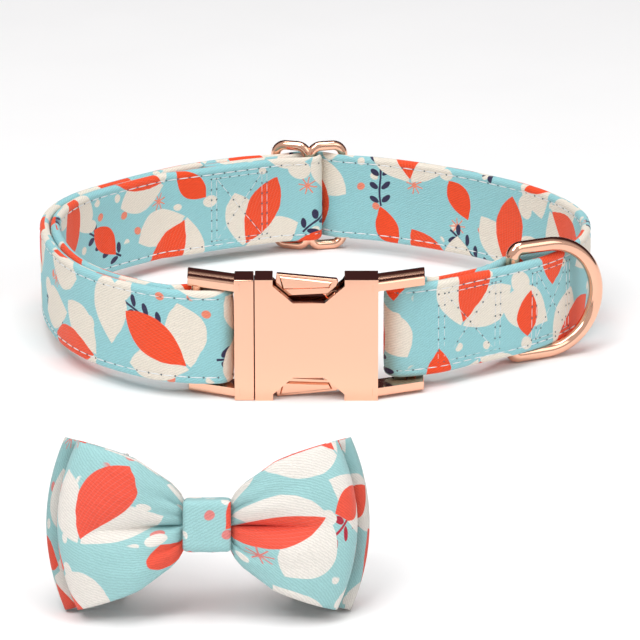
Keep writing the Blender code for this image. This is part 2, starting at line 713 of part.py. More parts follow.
def make_bow_layer(name, half_length, corner, height, front_rest, puff, back_puff, pleat, material, parent):
    """One loop of cloth, closed at the wings' ends and open above and below, gathered at the middle."""
    bundle = KNOT_HEIGHT / 2 - KNOT_WALL - TOUCH_GAP
    inner = KNOT_WIDTH / 2 + 2 * TOUCH_GAP + CLOTH_THICK / 2
    shares = [row[1] for row in WING_EDGE]
    quarter = [-2 / 3, -1 / 3, *shares]
    columns = [*reversed(quarter), -1, *quarter]
    walls = len(columns) - 1
    rows = 8
    bm = bmesh.new()
    bmesh.ops.create_grid(bm, x_segments=2 * walls, y_segments=rows, size=1)
    for vert in bm.verts:
        index = round((vert.co.x + 1) * walls)
        level = vert.co.y
        is_front = index < walls
        position = index if is_front else 2 * walls - index
        side = -1 if position < walls / 2 else 1
        share = columns[position]
        reach = corner + (half_length - corner) * (1 - level * level)
        if share < 0:
            x = inner * (1 + share)
            high = bundle
        else:
            x = inner + (reach - inner) * share
            high = wing_height(share, bundle, height)
        share = max(0.0, share)
        closing = math.sqrt(max(0.0, 1 - share**6))
        swell = math.sin(math.pi * min(1, share * 1.15 + 0.02)) ** 0.7 if share > 0 else 0.0
        lobe = 1 - 0.35 * level**4
        fold = pleat * math.exp(-((level / 0.22) ** 2)) * (1 - share) ** 0.8 * min(1, share * 6)
        crease = pleat * 0.35 * math.cos(9 * level + 5 * share * side) * share * (1 - share) * 2
        gap = (CLOTH_THICK + TOUCH_GAP) / 2
        if is_front:
            y = front_rest + gap - (2 * gap + puff * swell * lobe - fold - crease) * closing
        else:
            y = front_rest + gap + back_puff * swell * lobe * closing
        vert.co = (side * x, y, level * high)
    bmesh.ops.remove_doubles(bm, verts=bm.verts, dist=CLOTH_THICK / 100)
    layer = add_object(name, mesh_from(bm, name), material, parent)
    solid = layer.modifiers.new("cloth wall", "SOLIDIFY")
    solid.thickness = CLOTH_THICK
    solid.offset = 0
    solid.use_even_offset = True
    return layer


def ring_in_yz(name, middle, width, outside, wall, rounding, material, parent):
    """A band round the X direction: outside is (low y, high y, half height), wall is (front, back, ends)."""
    low, high, half = outside
    bm = bmesh.new()
    outer_corners = [(low, -half), (high, -half), (high, half), (low, half)]
    inner_corners = [
        (low + wall[0], -half + wall[2]),
        (high - wall[1], -half + wall[2]),
        (high - wall[1], half - wall[2]),
        (low + wall[0], half - wall[2]),
    ]
    loops = []
    for corners in (outer_corners, inner_corners):
        verts = [bm.verts.new((middle - width / 2, y, z)) for y, z in corners]
        loops.append([bm.edges.new((a, b)) for a, b in zip(verts, verts[1:] + verts[:1])])
    faces = bmesh.ops.bridge_loops(bm, edges=loops[0] + loops[1])["faces"]
    grown = bmesh.ops.extrude_face_region(bm, geom=faces)["geom"]
    moved = [item for item in grown if isinstance(item, bmesh.types.BMVert)]
    bmesh.ops.translate(bm, verts=moved, vec=(width, 0, 0))
    band = add_object(name, mesh_from(bm, name), material, parent)
    round_edges(band, rounding, 3)
    return band


def lowest_of(objects):
    """Height of the lowest point of some objects, as the view shows them."""
    graph = bpy.context.evaluated_depsgraph_get()
    found = []
    for obj in objects:
        shown = obj.evaluated_get(graph)
        mesh = shown.to_mesh()
        found.append(min((shown.matrix_world @ v.co).z for v in mesh.vertices))
        shown.to_mesh_clear()
    return min(found)


def make_bow(material, elastic_material, parent):
    gap = CLOTH_THICK + TOUCH_GAP
    layers = [
        make_bow_layer(
            "bow_front", BOW_FRONT_HALF, BOW_FRONT_CORNER, BOW_HALF_HEIGHT,
            0.0, BOW_PUFF, 0.0, PLEAT_DEPTH, material, parent,
        ),
        make_bow_layer(
            "bow_back", BOW_BACK_HALF, BOW_BACK_CORNER, BOW_HALF_HEIGHT + BOW_BACK_EXTRA,
            2 * gap, 0.0, BOW_BACK_PUFF, 0.0, material, parent,
        ),
    ]
    bundle_front = -gap / 2 - CLOTH_THICK / 2
    bundle_back = 2 * gap + gap / 2 + CLOTH_THICK / 2
    knot_back = bundle_back + TOUCH_GAP + KNOT_WALL
    ring_in_yz(
        "bow_knot",
        0.0,
        KNOT_WIDTH,
        (bundle_front - TOUCH_GAP - KNOT_FRONT, knot_back, KNOT_HEIGHT / 2),
        (KNOT_FRONT, KNOT_WALL, KNOT_WALL),
        min(KNOT_ROUND, KNOT_WALL * 0.45),
        material,
        parent,
    )
    bpy.context.view_layer.update()
    lowest = lowest_of(layers)
    elastic_front = bundle_back + BOW_BACK_PUFF + TOUCH_GAP
    elastic_back = elastic_front + ELASTIC_SLOT_DEPTH + 2 * ELASTIC_THICK
    half = (-lowest - elastic_back * math.sin(BOW_LEAN)) / math.cos(BOW_LEAN)
    for side, middle in (("left", -ELASTIC_FROM_MIDDLE), ("right", ELASTIC_FROM_MIDDLE)):
        ring_in_yz(
            f"elastic_band_{side}",
            middle,
            ELASTIC_WIDTH,
            (elastic_front, elastic_back, half),
            (ELASTIC_THICK, ELASTIC_THICK, ELASTIC_THICK),
            ELASTIC_THICK * 0.4,
            elastic_material,
            parent,
        )
    return lowest


def add_empty(name, parent=None):
    empty = bpy.data.objects.new(name, None)
    bpy.context.scene.collection.objects.link(empty)
    empty.parent = parent
    return empty


def centre_footprint(origin):
    """Moves the whole part so that the origin is on the surface it stands on, at its footprint's middle."""
    bpy.context.view_layer.update()
    graph = bpy.context.evaluated_depsgraph_get()
    corners = []
    for obj in bpy.data.objects:
        if obj.type == "EMPTY" or obj.hide_render:
            continue
        shown = obj.evaluated_get(graph)
        mesh = shown.to_mesh()
        corners += [shown.matrix_world @ v.co for v in mesh.vertices]
        shown.to_mesh_clear()
    corners = np.array(corners)
    low = corners.min(axis=0)
    high = corners.max(axis=0)
    origin.location = (-(low[0] + high[0]) / 2, -(low[1] + high[1]) / 2, -low[2])


def main():
    clear_scene()
    print_cloth = make_material("printed cotton", (0.42, 0.66, 0.68), 0.8)
    bow_cloth = make_material("printed cotton of the bow", (0.50, 0.72, 0.72), 0.8)
    elastic = make_material("white elastic", (0.85, 0.85, 0.82), 0.9)
    metal = make_material("rose gold metal", (0.93, 0.60, 0.44), 0.18, 1.0)
    lever_metal = make_material("rose gold lever metal", (0.88, 0.54, 0.40), 0.2, 1.0)
    ring_metal = make_material("rose gold ring metal", (0.90, 0.56, 0.42), 0.15, 1.0)

    origin = add_empty("part_origin")
    collar = add_empty("collar", origin)
    outline = Outline()
    slider = slider_places(outline)
    male_bar = crossbar_place(buckle_end(-1), -1, outline)
    female_bar = crossbar_place(buckle_end(1), 1, outline)
    d_depth = STRAP_THICK + TOUCH_GAP + D_WIRE / 2
    pocket = outline.length - POCKET_FROM_BUCKLE
    d_bar = outline.inside(pocket, d_depth)

    make_strap(outline, slider, male_bar, female_bar, d_bar, print_cloth, collar)
    make_buckle_female(female_bar, metal, collar)
    make_buckle_male(male_bar, metal, collar)
    make_lever("release_lever_top", True, lever_metal, collar)
    make_lever("release_lever_bottom", False, lever_metal, collar)
    make_slider(slider, metal, collar)
    make_d_ring(d_bar, outline.frame(pocket)[1], ring_metal, collar)

    bow = add_empty("bow", origin)
    bow.rotation_euler = (-BOW_LEAN, 0, 0)
    bpy.context.view_layer.update()
    lowest = make_bow(bow_cloth, elastic, bow)
    bow.location = (BOW_CENTRE_X, BODY_FRONT_Y - BOW_FRONT_OF_BUCKLE, -lowest)
    centre_footprint(origin)


main()
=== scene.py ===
"""Pet bow tie collar: the finished look of the collar and its slip-on bow tie, on a pale floor under soft light.

Metres, +Z up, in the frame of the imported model. The buckle faces -Y and the bow stands in front of it.
"""

import math

import bmesh
import bpy
import numpy as np
from mathutils import Matrix, Vector, noise


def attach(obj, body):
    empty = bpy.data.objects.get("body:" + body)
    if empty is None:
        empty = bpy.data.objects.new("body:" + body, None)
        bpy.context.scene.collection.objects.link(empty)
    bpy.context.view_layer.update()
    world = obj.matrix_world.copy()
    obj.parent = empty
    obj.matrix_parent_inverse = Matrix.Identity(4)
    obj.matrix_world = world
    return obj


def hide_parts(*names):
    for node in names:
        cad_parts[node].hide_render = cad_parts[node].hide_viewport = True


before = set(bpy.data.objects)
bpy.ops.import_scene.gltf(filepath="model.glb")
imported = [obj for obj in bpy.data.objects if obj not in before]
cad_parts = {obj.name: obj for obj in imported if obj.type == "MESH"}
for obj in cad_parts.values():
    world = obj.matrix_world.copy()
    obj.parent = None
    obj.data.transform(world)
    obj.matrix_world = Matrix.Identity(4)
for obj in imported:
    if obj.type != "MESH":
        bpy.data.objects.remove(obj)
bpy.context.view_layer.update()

bl_info = {
    "name": "Pet bow tie collar",
    "version": (1, 0, 0),
    "blender": (4, 5, 0),
    "location": "View3D > Sidebar > Collar",
    "description": "Builds a printed fabric pet collar with rose gold fittings, and its bow tie",
    "category": "Add Mesh",
}

MM = 0.001

# Sizes of the collar and its bow
TOUCH_GAP = 0.3 * MM
LOOP_WIDTH = 148 * MM
LOOP_DEPTH = 134 * MM
STRAP_WIDTH = 25 * MM
STRAP_THICK = 2.6 * MM
STRAP_PINCHED = 1.7 * MM
PINCH_REACH = 22 * MM
STATION_STEP = 5 * MM
STRAP_EASE = 9 * MM
ADJUSTER_TAIL = 14 * MM
TAIL_EASE = 16 * MM
BUCKLE_TAIL = 61 * MM
POCKET_FROM_BUCKLE = 41 * MM
POCKET_REACH = 10 * MM
MALE_FOLD_GAP = 0.2 * MM
MALE_BAR_ROW = 12.05 * MM
FEMALE_FOLD_GAP = 3.2 * MM
FEMALE_BAR_ROW = 16.07 * MM
METAL_HEIGHT = 32.4 * MM
BUCKLE_CENTRE_X = -2.6 * MM
BODY_LENGTH = 31.4 * MM
BODY_THICK = 8 * MM
BODY_SEAM = 0.3 * MM
BASE_LENGTH = 5 * MM
ARM_LENGTH = 13.1 * MM
ARM_HEIGHT = 3.2 * MM
ARM_ROOT = 1.5 * MM
ARM_INSET = 0.5 * MM
ARM_BACK = 6.6 * MM
ARM_BEND = math.radians(24)
CROSSBAR_THICK = 3 * MM
CROSSBAR_FROM_TIP = 2.2 * MM
RUNNING_GAP = 0.3 * MM
CUT_PAST = 2 * MM
PLATE_THICK = 2.1 * MM
TONGUE_HEIGHT = 10 * MM
TONGUE_LENGTH = 24 * MM
NOTCH_WIDTH = 18.3 * MM
NOTCH_FLOOR = 8.1 * MM
NOTCH_DEPTH = 6.2 * MM
NOTCH_LIP = 1.7 * MM
ROOM_ROOF = 1.3 * MM
NOTCH_OFFSET = -2 * MM
LEVER_THICK = 3.2 * MM
LEVER_SIDE_GAP = 0.7 * MM
LEVER_LENGTH = 16 * MM
LEVER_SLOPE = 1.5 * MM
LOWER_PROUD = -0.1 * MM
LEVER_PAD = 4.9 * MM
LEVER_EYE_RADIUS = 2.2 * MM
LEVER_PIN_RADIUS = 1 * MM
LEVER_PIN_INSET = 0.7 * MM
LEVER_PIN_DEPTH = 8 * MM
SLIDER_WIDTH = 22 * MM
SLIDER_WIRE = 2.8 * MM
SLIDER_CORNER = 3 * MM
SLIDER_MIDDLE_SPREAD = 0.8 * MM
SLIDER_BOW = 2.5 * MM
SLIDER_SINK = 1 * MM
D_WIRE = 3.2 * MM
D_EDGE_GAP = 0.4 * MM
D_DEPTH = 27 * MM
D_CORNER_RADIUS = 2.2 * MM
D_LIFT = 0.2 * MM
D_SWING = math.radians(14.71)
BOW_LEAN = math.radians(17.5)
BOW_FRONT_OF_BUCKLE = 136 * MM
BOW_CENTRE_X = -23.9 * MM
CLOTH_THICK = 1.4 * MM
KNOT_WIDTH = 10.5 * MM
KNOT_HEIGHT = 11.4 * MM
KNOT_WALL = 1.5 * MM
KNOT_FRONT = 3.4 * MM
KNOT_CORNER = 1.5 * MM
ELASTIC_WIDTH = 8 * MM
ELASTIC_FROM_MIDDLE = 22 * MM
ELASTIC_THICK = 1.3 * MM
ELASTIC_SLOT_DEPTH = 9 * MM
ELASTIC_CORNER = 2.4 * MM
BOW_BACK_PUFF = 1.6 * MM
NEEDLE_HOLE_SHADOW = 0.27 * MM
STITCH_START = 3 * MM
BOX_PITCH = 3.0 * MM
BOX_STITCH_SHARE = 0.8
BOX_CLEAR = 12 * MM
BOX_INSET = 1.3 * MM
BOX_DOUBLE = 1.6 * MM
KNOT_CLOTH = 0.8 * MM
BACK_TALLER = 0.5 * MM
# Gap and inset of the strips of painted shadow in the seam between the buckle's base and its body
SEAM_SHADOW_GAP = 0.04 * MM
SEAM_SHADOW_INSET = 0.9 * MM

# Angles of the camera in degrees: how far it looks down, and how far it is turned about the vertical
CAMERA_DOWN = 18.39
CAMERA_PAN = -0.06

# Shading: edges above the angle in degrees stay sharp, and faces of plates above the area are flat
SMOOTH_ANGLE = 40
PLATE_ANGLE = 18
PLATE_FACE = 1.5 * MM * MM

# From the loop's own frame, about its middle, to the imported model's frame, where LOOP_MIDDLE_Y parts the loop's
# front half from its rear half
MODEL_SHIFT = (-0.503 * MM, 71.771 * MM)
LOOP_MIDDLE_Y = 70 * MM
MIDDLE_HEIGHT = METAL_HEIGHT / 2
BODY_FRONT_Y = -LOOP_DEPTH / 2 + 1 * MM
BODY_MIDDLE_Y = BODY_FRONT_Y + BODY_THICK / 2
BODY_MIDDLE_X = BUCKLE_CENTRE_X + (BASE_LENGTH + BODY_SEAM) / 2
NOTCH_MIDDLE_X = BODY_MIDDLE_X + NOTCH_OFFSET

# From one layer of the bow's cloth to the next, and how far behind the front layer the elastic bands begin and end
LAYER_GAP = CLOTH_THICK + TOUCH_GAP
ELASTIC_NEAR = 2 * LAYER_GAP + LAYER_GAP / 2 + CLOTH_THICK / 2 + BOW_BACK_PUFF + TOUCH_GAP
ELASTIC_FAR = ELASTIC_NEAR + ELASTIC_SLOT_DEPTH + 2 * ELASTIC_THICK

# Plan x of the two ends of the crossed boxes in front, and of the one by the slider, and between which lengths
# along the strap that one is
FRONT_BOXES = ((29.0 * MM, 46.3 * MM), (55.0 * MM, 65.0 * MM))
SLIDER_BOX = (-31.2 * MM, -15.2 * MM)
SLIDER_BOX_SPAN = (35 * MM, 95 * MM)

# Outside of the strap seen from above, as shares of half the loop's width and half its depth
LOOP_OUTLINE = (
    ("male fold", -0.289, -0.966),
    ("male bar", -0.446, -0.958),
    ("front left", -0.600, -0.893),
    ("front left turn", -0.780, -0.727),
    ("left front side", -0.906, -0.510),
    ("left side", -0.993, -0.185),
    ("left middle", -1.004, 0.115),
    ("left rear side", -0.912, 0.383),
    ("rear left", -0.716, 0.620),
    ("rear left run", -0.500, 0.821),
    ("rear left end", -0.230, 0.965),
    ("slider", -0.027, 1.005),
    ("rear right end", 0.180, 0.955),
    ("rear right run", 0.430, 0.830),
    ("rear right", 0.676, 0.642),
    ("right rear side", 0.880, 0.400),
    ("right middle", 0.992, 0.110),
    ("right side", 0.985, -0.180),
    ("right front side", 0.885, -0.425),
    ("D-ring turn", 0.735, -0.600),
    ("front right", 0.560, -0.735),
    ("front right turn", 0.430, -0.835),
    ("female fold", 0.238, -0.905),
)
SLIDER_ROW = 11

# Rows beside the buckle keep a distance from its end instead: the end's side, and how far away the row is
BUCKLE_ROWS = {
    "male fold": (-1, MALE_FOLD_GAP),
    "male bar": (-1, MALE_BAR_ROW),
    "front right turn": (1, FEMALE_BAR_ROW),
    "female fold": (1, FEMALE_FOLD_GAP),
}

# Upper edge of a bow wing: share of the way from the knot to the wing's corner, share of the growth in height
WING_EDGE = (
    ("knot", 0.00, 0.00),
    ("gather", 0.05, 0.19),
    ("neck", 0.13, 0.34),
    ("rise", 0.26, 0.49),
    ("shoulder", 0.43, 0.69),
    ("middle", 0.58, 0.79),
    ("outer", 0.72, 0.87),
    ("outer edge", 0.86, 0.94),
    ("turn", 0.95, 0.98),
    ("corner", 1.00, 1.00),
)

# Gathers at the knot: level up the wing, depth in millimetres, how fast they fade towards the wing's end
BOW_GATHERS = (
    ("upper", 0.55, 1.3, 4.0),
    ("lower", -0.62, 1.2, 3.6),
    ("top", 0.86, 0.8, 3.0),
    ("inner", -0.30, 0.8, 5.0),
)

# The bow's cloth is a redder run of the same print
BOW_SHADES = {
    "ground": (0.33, 0.58, 0.585),
    "cream": (0.79, 0.745, 0.69),
    "leaf": (0.82, 0.085, 0.045),
    "coral": (0.72, 0.22, 0.20),
    "ink": (0.42, 0.012, 0.035),
}
BOW_PRINT_PLACE = (8.0, 44.0)
# The bow's back layer gets the same print painted darker by this factor, as painted shade from the front layer
BACK_LAYER_PAINTED_SHADE = 0.80

# The print is drawn in units that put its large motifs this far apart
PRINT_UNITS = 21.0


# Settings

def length_setting(name, description, default):
    return bpy.props.FloatProperty(
        name=name, description=description, default=default, min=0.0, unit="LENGTH", precision=5
    )


def colour_setting(name, description, default):
    return bpy.props.FloatVectorProperty(
        name=name, description=description, default=default, min=0.0, max=1.0, size=3, subtype="COLOR"
    )


class CollarStrapSettings(bpy.types.PropertyGroup):
    stitch_pitch: length_setting("Stitch pitch", "Length of one stitch with the hole after it", 3.6 * MM)
    stitch_length: length_setting("Stitch length", "Length of the thread that shows between two holes", 3.0 * MM)
    thread_radius: length_setting("Thread radius", "Half the thickness of the edge thread", 0.17 * MM)
    box_thread_radius: length_setting("Box thread radius", "Half the thickness of the box stitches' thread", 0.09 * MM)
    edge_margin: length_setting("Edge margin", "Distance from the strap's edge to its stitches", 2.0 * MM)
    groove: length_setting("Stitch groove", "How deep the stitches pull the cloth in", 0.22 * MM)
    station_step: length_setting("Station step", "Length of one step of the strap's mesh", 0.8 * MM)


class CollarMetalSettings(bpy.types.PropertyGroup):
    colour: colour_setting("Metal colour", "Colour of the rose gold plate", (0.96, 0.545, 0.385))
    roughness: bpy.props.FloatProperty(
        name="Roughness", description="Roughness of the polished plate", default=0.12, min=0.0, max=1.0
    )
    edge_round: length_setting("Rounded edges", "Width of the rounding along the plates' edges", 0.32 * MM)
    arm_depth: length_setting("Arm depth", "Depth of the lower front part of a buckle's arm", 2.1 * MM)
    arm_round: length_setting("Arm rounding", "Radius of the rounding along a buckle's arm", 0.8 * MM)
    arm_step: length_setting("Arm step", "How far an arm's front part lies below the plates' edge", 0.75 * MM)
    lever_slope: length_setting("Lever slope", "Width of the slope round a lever's raised panel", 0.35 * MM)
    lever_panel: length_setting("Lever panel", "How far a lever's panel stands out", 0.7 * MM)
    upper_proud: length_setting("Upper pad height", "How far the upper release pad stands above the plates", 0.7 * MM)
    ring_wire: length_setting("Ring wire", "Thickness of the leash ring's wire", 3.7 * MM)


class CollarBowSettings(bpy.types.PropertyGroup):
    front_half: length_setting("Front half length", "From the knot's middle to the front wing's bulge", 32.6 * MM)
    front_corner: length_setting("Front corner", "From the knot's middle to the front wing's corner", 28.2 * MM)
    back_half: length_setting("Back half length", "From the knot's middle to the back wing's bulge", 35.3 * MM)
    back_corner: length_setting("Back corner", "From the knot's middle to the back wing's corner", 31.2 * MM)
    half_height: length_setting("Half height", "Half the height of a wing's end", 18.4 * MM)
    puff: length_setting("Puff", "How far the front wings stand out", 6.8 * MM)
    valley: length_setting("Valley", "Depth of the fold at the wings' mid height", 4.8 * MM)
    cloth: length_setting("Cloth thickness", "Thickness of the folded cloth's edge", 0.7 * MM)


class CollarPrintSettings(bpy.types.PropertyGroup):
    ground: colour_setting("Ground", "Colour of the cloth between the motifs", (0.29, 0.585, 0.62))
    cream: colour_setting("Petals", "Colour of the large petals and pebbles", (0.79, 0.725, 0.625))
    leaf: colour_setting("Leaves", "Colour of the veined leaves", (0.86, 0.065, 0.010))
    coral: colour_setting("Stars", "Colour of the starbursts and small dots", (0.82, 0.24, 0.15))
    ink: colour_setting("Sprigs", "Colour of the thin sprigs", (0.022, 0.018, 0.065))
    motif_size: length_setting("Motif spacing", "Distance between the large motifs", 30 * MM)


class CollarStageSettings(bpy.types.PropertyGroup):
    camera_distance: length_setting("Camera distance", "From the loop's middle to the camera", 1.0)
    camera_height: bpy.props.FloatProperty(
        name="Camera elevation", description="Angle of the camera above the floor",
        default=math.radians(17.5), subtype="ANGLE",
    )
    lens: bpy.props.FloatProperty(name="Lens", description="Focal length in millimetres", default=207.06)
    floor_size: length_setting("Floor size", "Side of the pale floor", 6.0)


# Shared mesh helpers

def new_object(name, data):
    obj = bpy.data.objects.new(name, data)
    bpy.context.scene.collection.objects.link(obj)
    return obj


def evaluated(obj):
    """A bmesh of an object with its modifiers or its curve's bevel applied."""
    graph = bpy.context.evaluated_depsgraph_get()
    mesh = bpy.data.meshes.new_from_object(obj.evaluated_get(graph))
    bm = bmesh.new()
    bm.from_mesh(mesh)
    bpy.data.meshes.remove(mesh)
    return bm


def verts_of(made):
    """The vertices among what a bmesh operator made."""
    return [item for item in made["geom"] if isinstance(item, bmesh.types.BMVert)]


def mesh_object(name, bm, material, recalculate=True, sharp=SMOOTH_ANGLE):
    """A new object at the origin from a finished bmesh, shaded smooth but for edges above an angle in degrees.

    A piece with a smaller angle than the usual one is made of plates, and their large faces are shaded flat.
    """
    if recalculate:
        bmesh.ops.recalc_face_normals(bm, faces=bm.faces)
    mesh = bpy.data.meshes.new(name)
    bm.to_mesh(mesh)
    bm.free()
    obj = new_object(name, mesh)
    mesh.materials.append(material)
    mesh.shade_smooth()
    mesh.set_sharp_from_angle(angle=math.radians(sharp))
    if sharp < SMOOTH_ANGLE:
        for polygon in mesh.polygons:
            if polygon.area > PLATE_FACE:
                polygon.use_smooth = False
    return obj


def bevel_edges(bm, edges, width, segments):
    bmesh.ops.bevel(
        bm, geom=edges, offset=width, segments=segments, profile=0.5, affect="EDGES", material=-1
    )


def sharp_edges(bm, angle=35):
    """The edges at which two faces meet at more than an angle in degrees."""
    return [e for e in bm.edges if len(e.link_faces) == 2 and e.calc_face_angle() > math.radians(angle)]


def joined(parts):
    """One bmesh from several, which are freed."""
    whole = bmesh.new()
    for bm in parts:
        mesh = bpy.data.meshes.new("part")
        bm.to_mesh(mesh)
        bm.free()
        whole.from_mesh(mesh)
        bpy.data.meshes.remove(mesh)
    return whole


def block(low, high):
    """A bmesh box between two corners."""
    bm = bmesh.new()
    size = [b - a for a, b in zip(low, high)]
    middle = [(a + b) / 2 for a, b in zip(low, high)]
    bmesh.ops.create_cube(bm, size=1, matrix=Matrix.Translation(middle) @ Matrix.Diagonal((*size, 1)))
    return bm


def prism(outline, low_y, high_y):
    """A bmesh prism along Y whose outline is a list of (x, z)."""
    bm = bmesh.new()
    face = bm.faces.new([bm.verts.new((x, high_y, z)) for x, z in outline])
    grown = bmesh.ops.extrude_face_region(bm, geom=[face])
    bmesh.ops.translate(bm, verts=verts_of(grown), vec=(0, low_y - high_y, 0))
    bmesh.ops.recalc_face_normals(bm, faces=bm.faces)
    return bm


def round_bar(centre, radius, length, axis):
    """A bmesh cylinder along Y or Z, centred on a point."""
    turn = {"Y": Matrix.Rotation(math.pi / 2, 4, "X"), "Z": Matrix.Identity(4)}[axis]
    bm = bmesh.new()
    bmesh.ops.create_cone(
        bm, cap_ends=True, segments=32, radius1=radius, radius2=radius, depth=length,
        matrix=Matrix.Translation(centre) @ turn,
    )
    return bm


def carved(base, steps, width):
    """A bmesh for a metal piece: each step joins another one to it or cuts it out, and then its edges are rounded."""
    made = []
    for bm in (base, *(shape for _, shape in steps)):
        bmesh.ops.recalc_face_normals(bm, faces=bm.faces)
        mesh = bpy.data.meshes.new("helper")
        bm.to_mesh(mesh)
        bm.free()
        made.append(new_object("helper", mesh))
    body = made[0]
    for (operation, _), helper in zip(steps, made[1:]):
        modifier = body.modifiers.new("shape", "BOOLEAN")
        modifier.operation = operation
        modifier.object = helper
    rounding = body.modifiers.new("rounding", "BEVEL")
    rounding.width = width
    rounding.segments = 3
    rounding.limit_method = "ANGLE"
    rounding.angle_limit = math.radians(35)
    bm = evaluated(body)
    for obj in made:
        bpy.data.objects.remove(obj, do_unlink=True)
    return bm


def round_wire(name, points, radius, material):
    """A closed loop of round wire through world points."""
    curve = bpy.data.curves.new(name, "CURVE")
    curve.dimensions = "3D"
    curve.bevel_depth = radius
    curve.bevel_resolution = 10
    spline = curve.splines.new("POLY")
    spline.points.add(len(points) - 1)
    for point, place in zip(spline.points, points):
        point.co = (*place, 1)
    spline.use_cyclic_u = True
    helper = new_object(name, curve)
    bm = evaluated(helper)
    bpy.data.objects.remove(helper, do_unlink=True)
    return mesh_object(name, bm, material)


def round_cornered(low, high, radius, steps):
    """Points round a rectangle with round corners, given by two of its corners as (x, y)."""
    left, right = low[0] + radius, high[0] - radius
    bottom, top = low[1] + radius, high[1] - radius
    points = []
    for quarter, (x, y) in enumerate(((right, top), (left, top), (left, bottom), (right, bottom))):
        for k in range(steps + 1):
            angle = math.radians(90 * quarter + 90 / steps * k)
            points.append((x + radius * math.cos(angle), y + radius * math.sin(angle)))
    return points


def cloth_grid(columns, rows, flat_place):
    """A bmesh grid from -1 to 1, whose UV map holds the place of each vertex on the flat cloth."""
    bm = bmesh.new()
    uv = bm.loops.layers.uv.new("Cloth")
    bmesh.ops.create_grid(bm, x_segments=columns, y_segments=rows, size=1, calc_uvs=True)
    for face in bm.faces:
        for loop in face.loops:
            loop[uv].uv = flat_place(loop.vert.co.x, loop.vert.co.y)
    return bm


def thicken(obj, thickness, offset):
    """Gives a sheet of cloth its thickness, on both sides at offset 0 or inwards at -1."""
    wall = obj.modifiers.new("cloth", "SOLIDIFY")
    wall.thickness = thickness
    wall.offset = offset


# Route of the strap

def table_at(wanted, known, table):
    """Rows of a table at wanted lengths, read between the known lengths of its own rows."""
    return np.stack([np.interp(wanted, known, column) for column in table.T], axis=-1)


def lengths_along(points):
    """The length of a line of points up to each of them."""
    return np.concatenate([[0], np.cumsum(np.linalg.norm(np.diff(points, axis=0), axis=1))])


def smooth_through(points, per_span):
    """Points on one smooth curve through the given points, as a Catmull-Rom spline with its ends extended."""
    points = [np.array(p) for p in points]
    ends = [2 * points[0] - points[1], *points, 2 * points[-1] - points[-2]]
    found = []
    for a, b, c, d in zip(ends, ends[1:], ends[2:], ends[3:]):
        square = 2 * a - 5 * b + 4 * c - d
        cube = 3 * b - a - 3 * c + d
        for step in range(per_span):
            t = step / per_span
            found.append(b + ((c - a) * t + square * t**2 + cube * t**3) / 2)
    found.append(points[-1])
    return np.array(found)


class Outline:
    """The strap's outside seen from above, read by the length along it."""

    def __init__(self):
        rows = {name: [x * LOOP_WIDTH / 2, y * LOOP_DEPTH / 2] for name, x, y in LOOP_OUTLINE}
        for name, (side, away) in BUCKLE_ROWS.items():
            rows[name][0] = buckle_end(side) + side * away
        per_span = 16
        self.points = smooth_through(rows.values(), per_span)
        self.along = lengths_along(self.points)
        self.length = self.along[-1]
        self.slider = self.along[SLIDER_ROW * per_span]

    def frame(self, along):
        """Place, heading and inward direction at a length along the outline."""
        reach = 1 * MM
        ends = [self.read(along - reach), self.read(along + reach)]
        heading = (ends[1] - ends[0]) / np.linalg.norm(ends[1] - ends[0])
        return self.read(along), heading, np.array([heading[1], -heading[0]])

    def read(self, along):
        return table_at(along, self.along, self.points)

    def inside(self, along, depth):
        """A place at a depth inwards from the outline."""
        place, _, inward = self.frame(along)
        return place + inward * depth

    def at_x(self, x, from_start):
        """Length along the outline, near one of its two ends, where it passes a given x."""
        near = self.along < self.length / 4 if from_start else self.along > self.length * 3 / 4
        order = np.argsort(self.points[near, 0])
        return float(np.interp(x, self.points[near, 0][order], self.along[near][order]))


def body_ends():
    """Plan x of the buckle body's two ends, in the loop's own frame."""
    return BODY_MIDDLE_X - BODY_LENGTH / 2, BODY_MIDDLE_X + BODY_LENGTH / 2


def buckle_end(side):
    """The base's outer end on the male side, -1, or the body's outer end on the female side, 1."""
    left, right = body_ends()
    return right if side > 0 else left - BODY_SEAM - BASE_LENGTH


def crossbar_place(side, outline):
    """Middle of a strap bar of the buckle."""
    x = buckle_end(side) + side * math.cos(ARM_BEND) * (ARM_LENGTH - CROSSBAR_FROM_TIP)
    depth = STRAP_THICK + TOUCH_GAP + CROSSBAR_THICK / 2
    return outline.inside(outline.at_x(x, side < 0), depth)


def slider_places(outline):
    """Plan places of the slider's bars."""
    place, heading, inward = outline.frame(outline.slider)
    half = (SLIDER_WIDTH - SLIDER_WIRE) / 2
    spread = SLIDER_MIDDLE_SPREAD / 2
    deep = SLIDER_SINK + SLIDER_BOW
    return {
        "left": place - heading * half + inward * SLIDER_SINK,
        "right": place + heading * half + inward * SLIDER_SINK,
        "middle left": place - heading * spread + inward * deep,
        "middle right": place + heading * spread + inward * deep,
    }


def belt(turns):
    """The path of a belt round circles, each (centre, radius). A positive radius has the centre on its left."""
    headings = []
    for (a, ra), (b, rb) in zip(turns, turns[1:]):
        way = b - a
        span = np.linalg.norm(way)
        headings.append(math.atan2(way[1], way[0]) - math.asin(max(-1, min(1, (rb - ra) / span))))
    headings = [headings[0], *headings, headings[-1]]
    path = []
    for (centre, radius), start, end in zip(turns, headings, headings[1:]):
        sweep = (end - start + math.pi) % (2 * math.pi) - math.pi
        if radius and abs(sweep) > math.radians(150):
            sweep = math.copysign(abs(sweep), radius)
        wraps = radius * sweep > 0
        steps = max(1, math.ceil(abs(sweep) / math.radians(6))) if wraps else 0
        shares = [k / steps for k in range(steps + 1)] if steps else [0.5]
        for share in shares:
            angle = start + sweep * share
            path.append(centre + radius * np.array([math.sin(angle), -math.cos(angle)]))
    return path


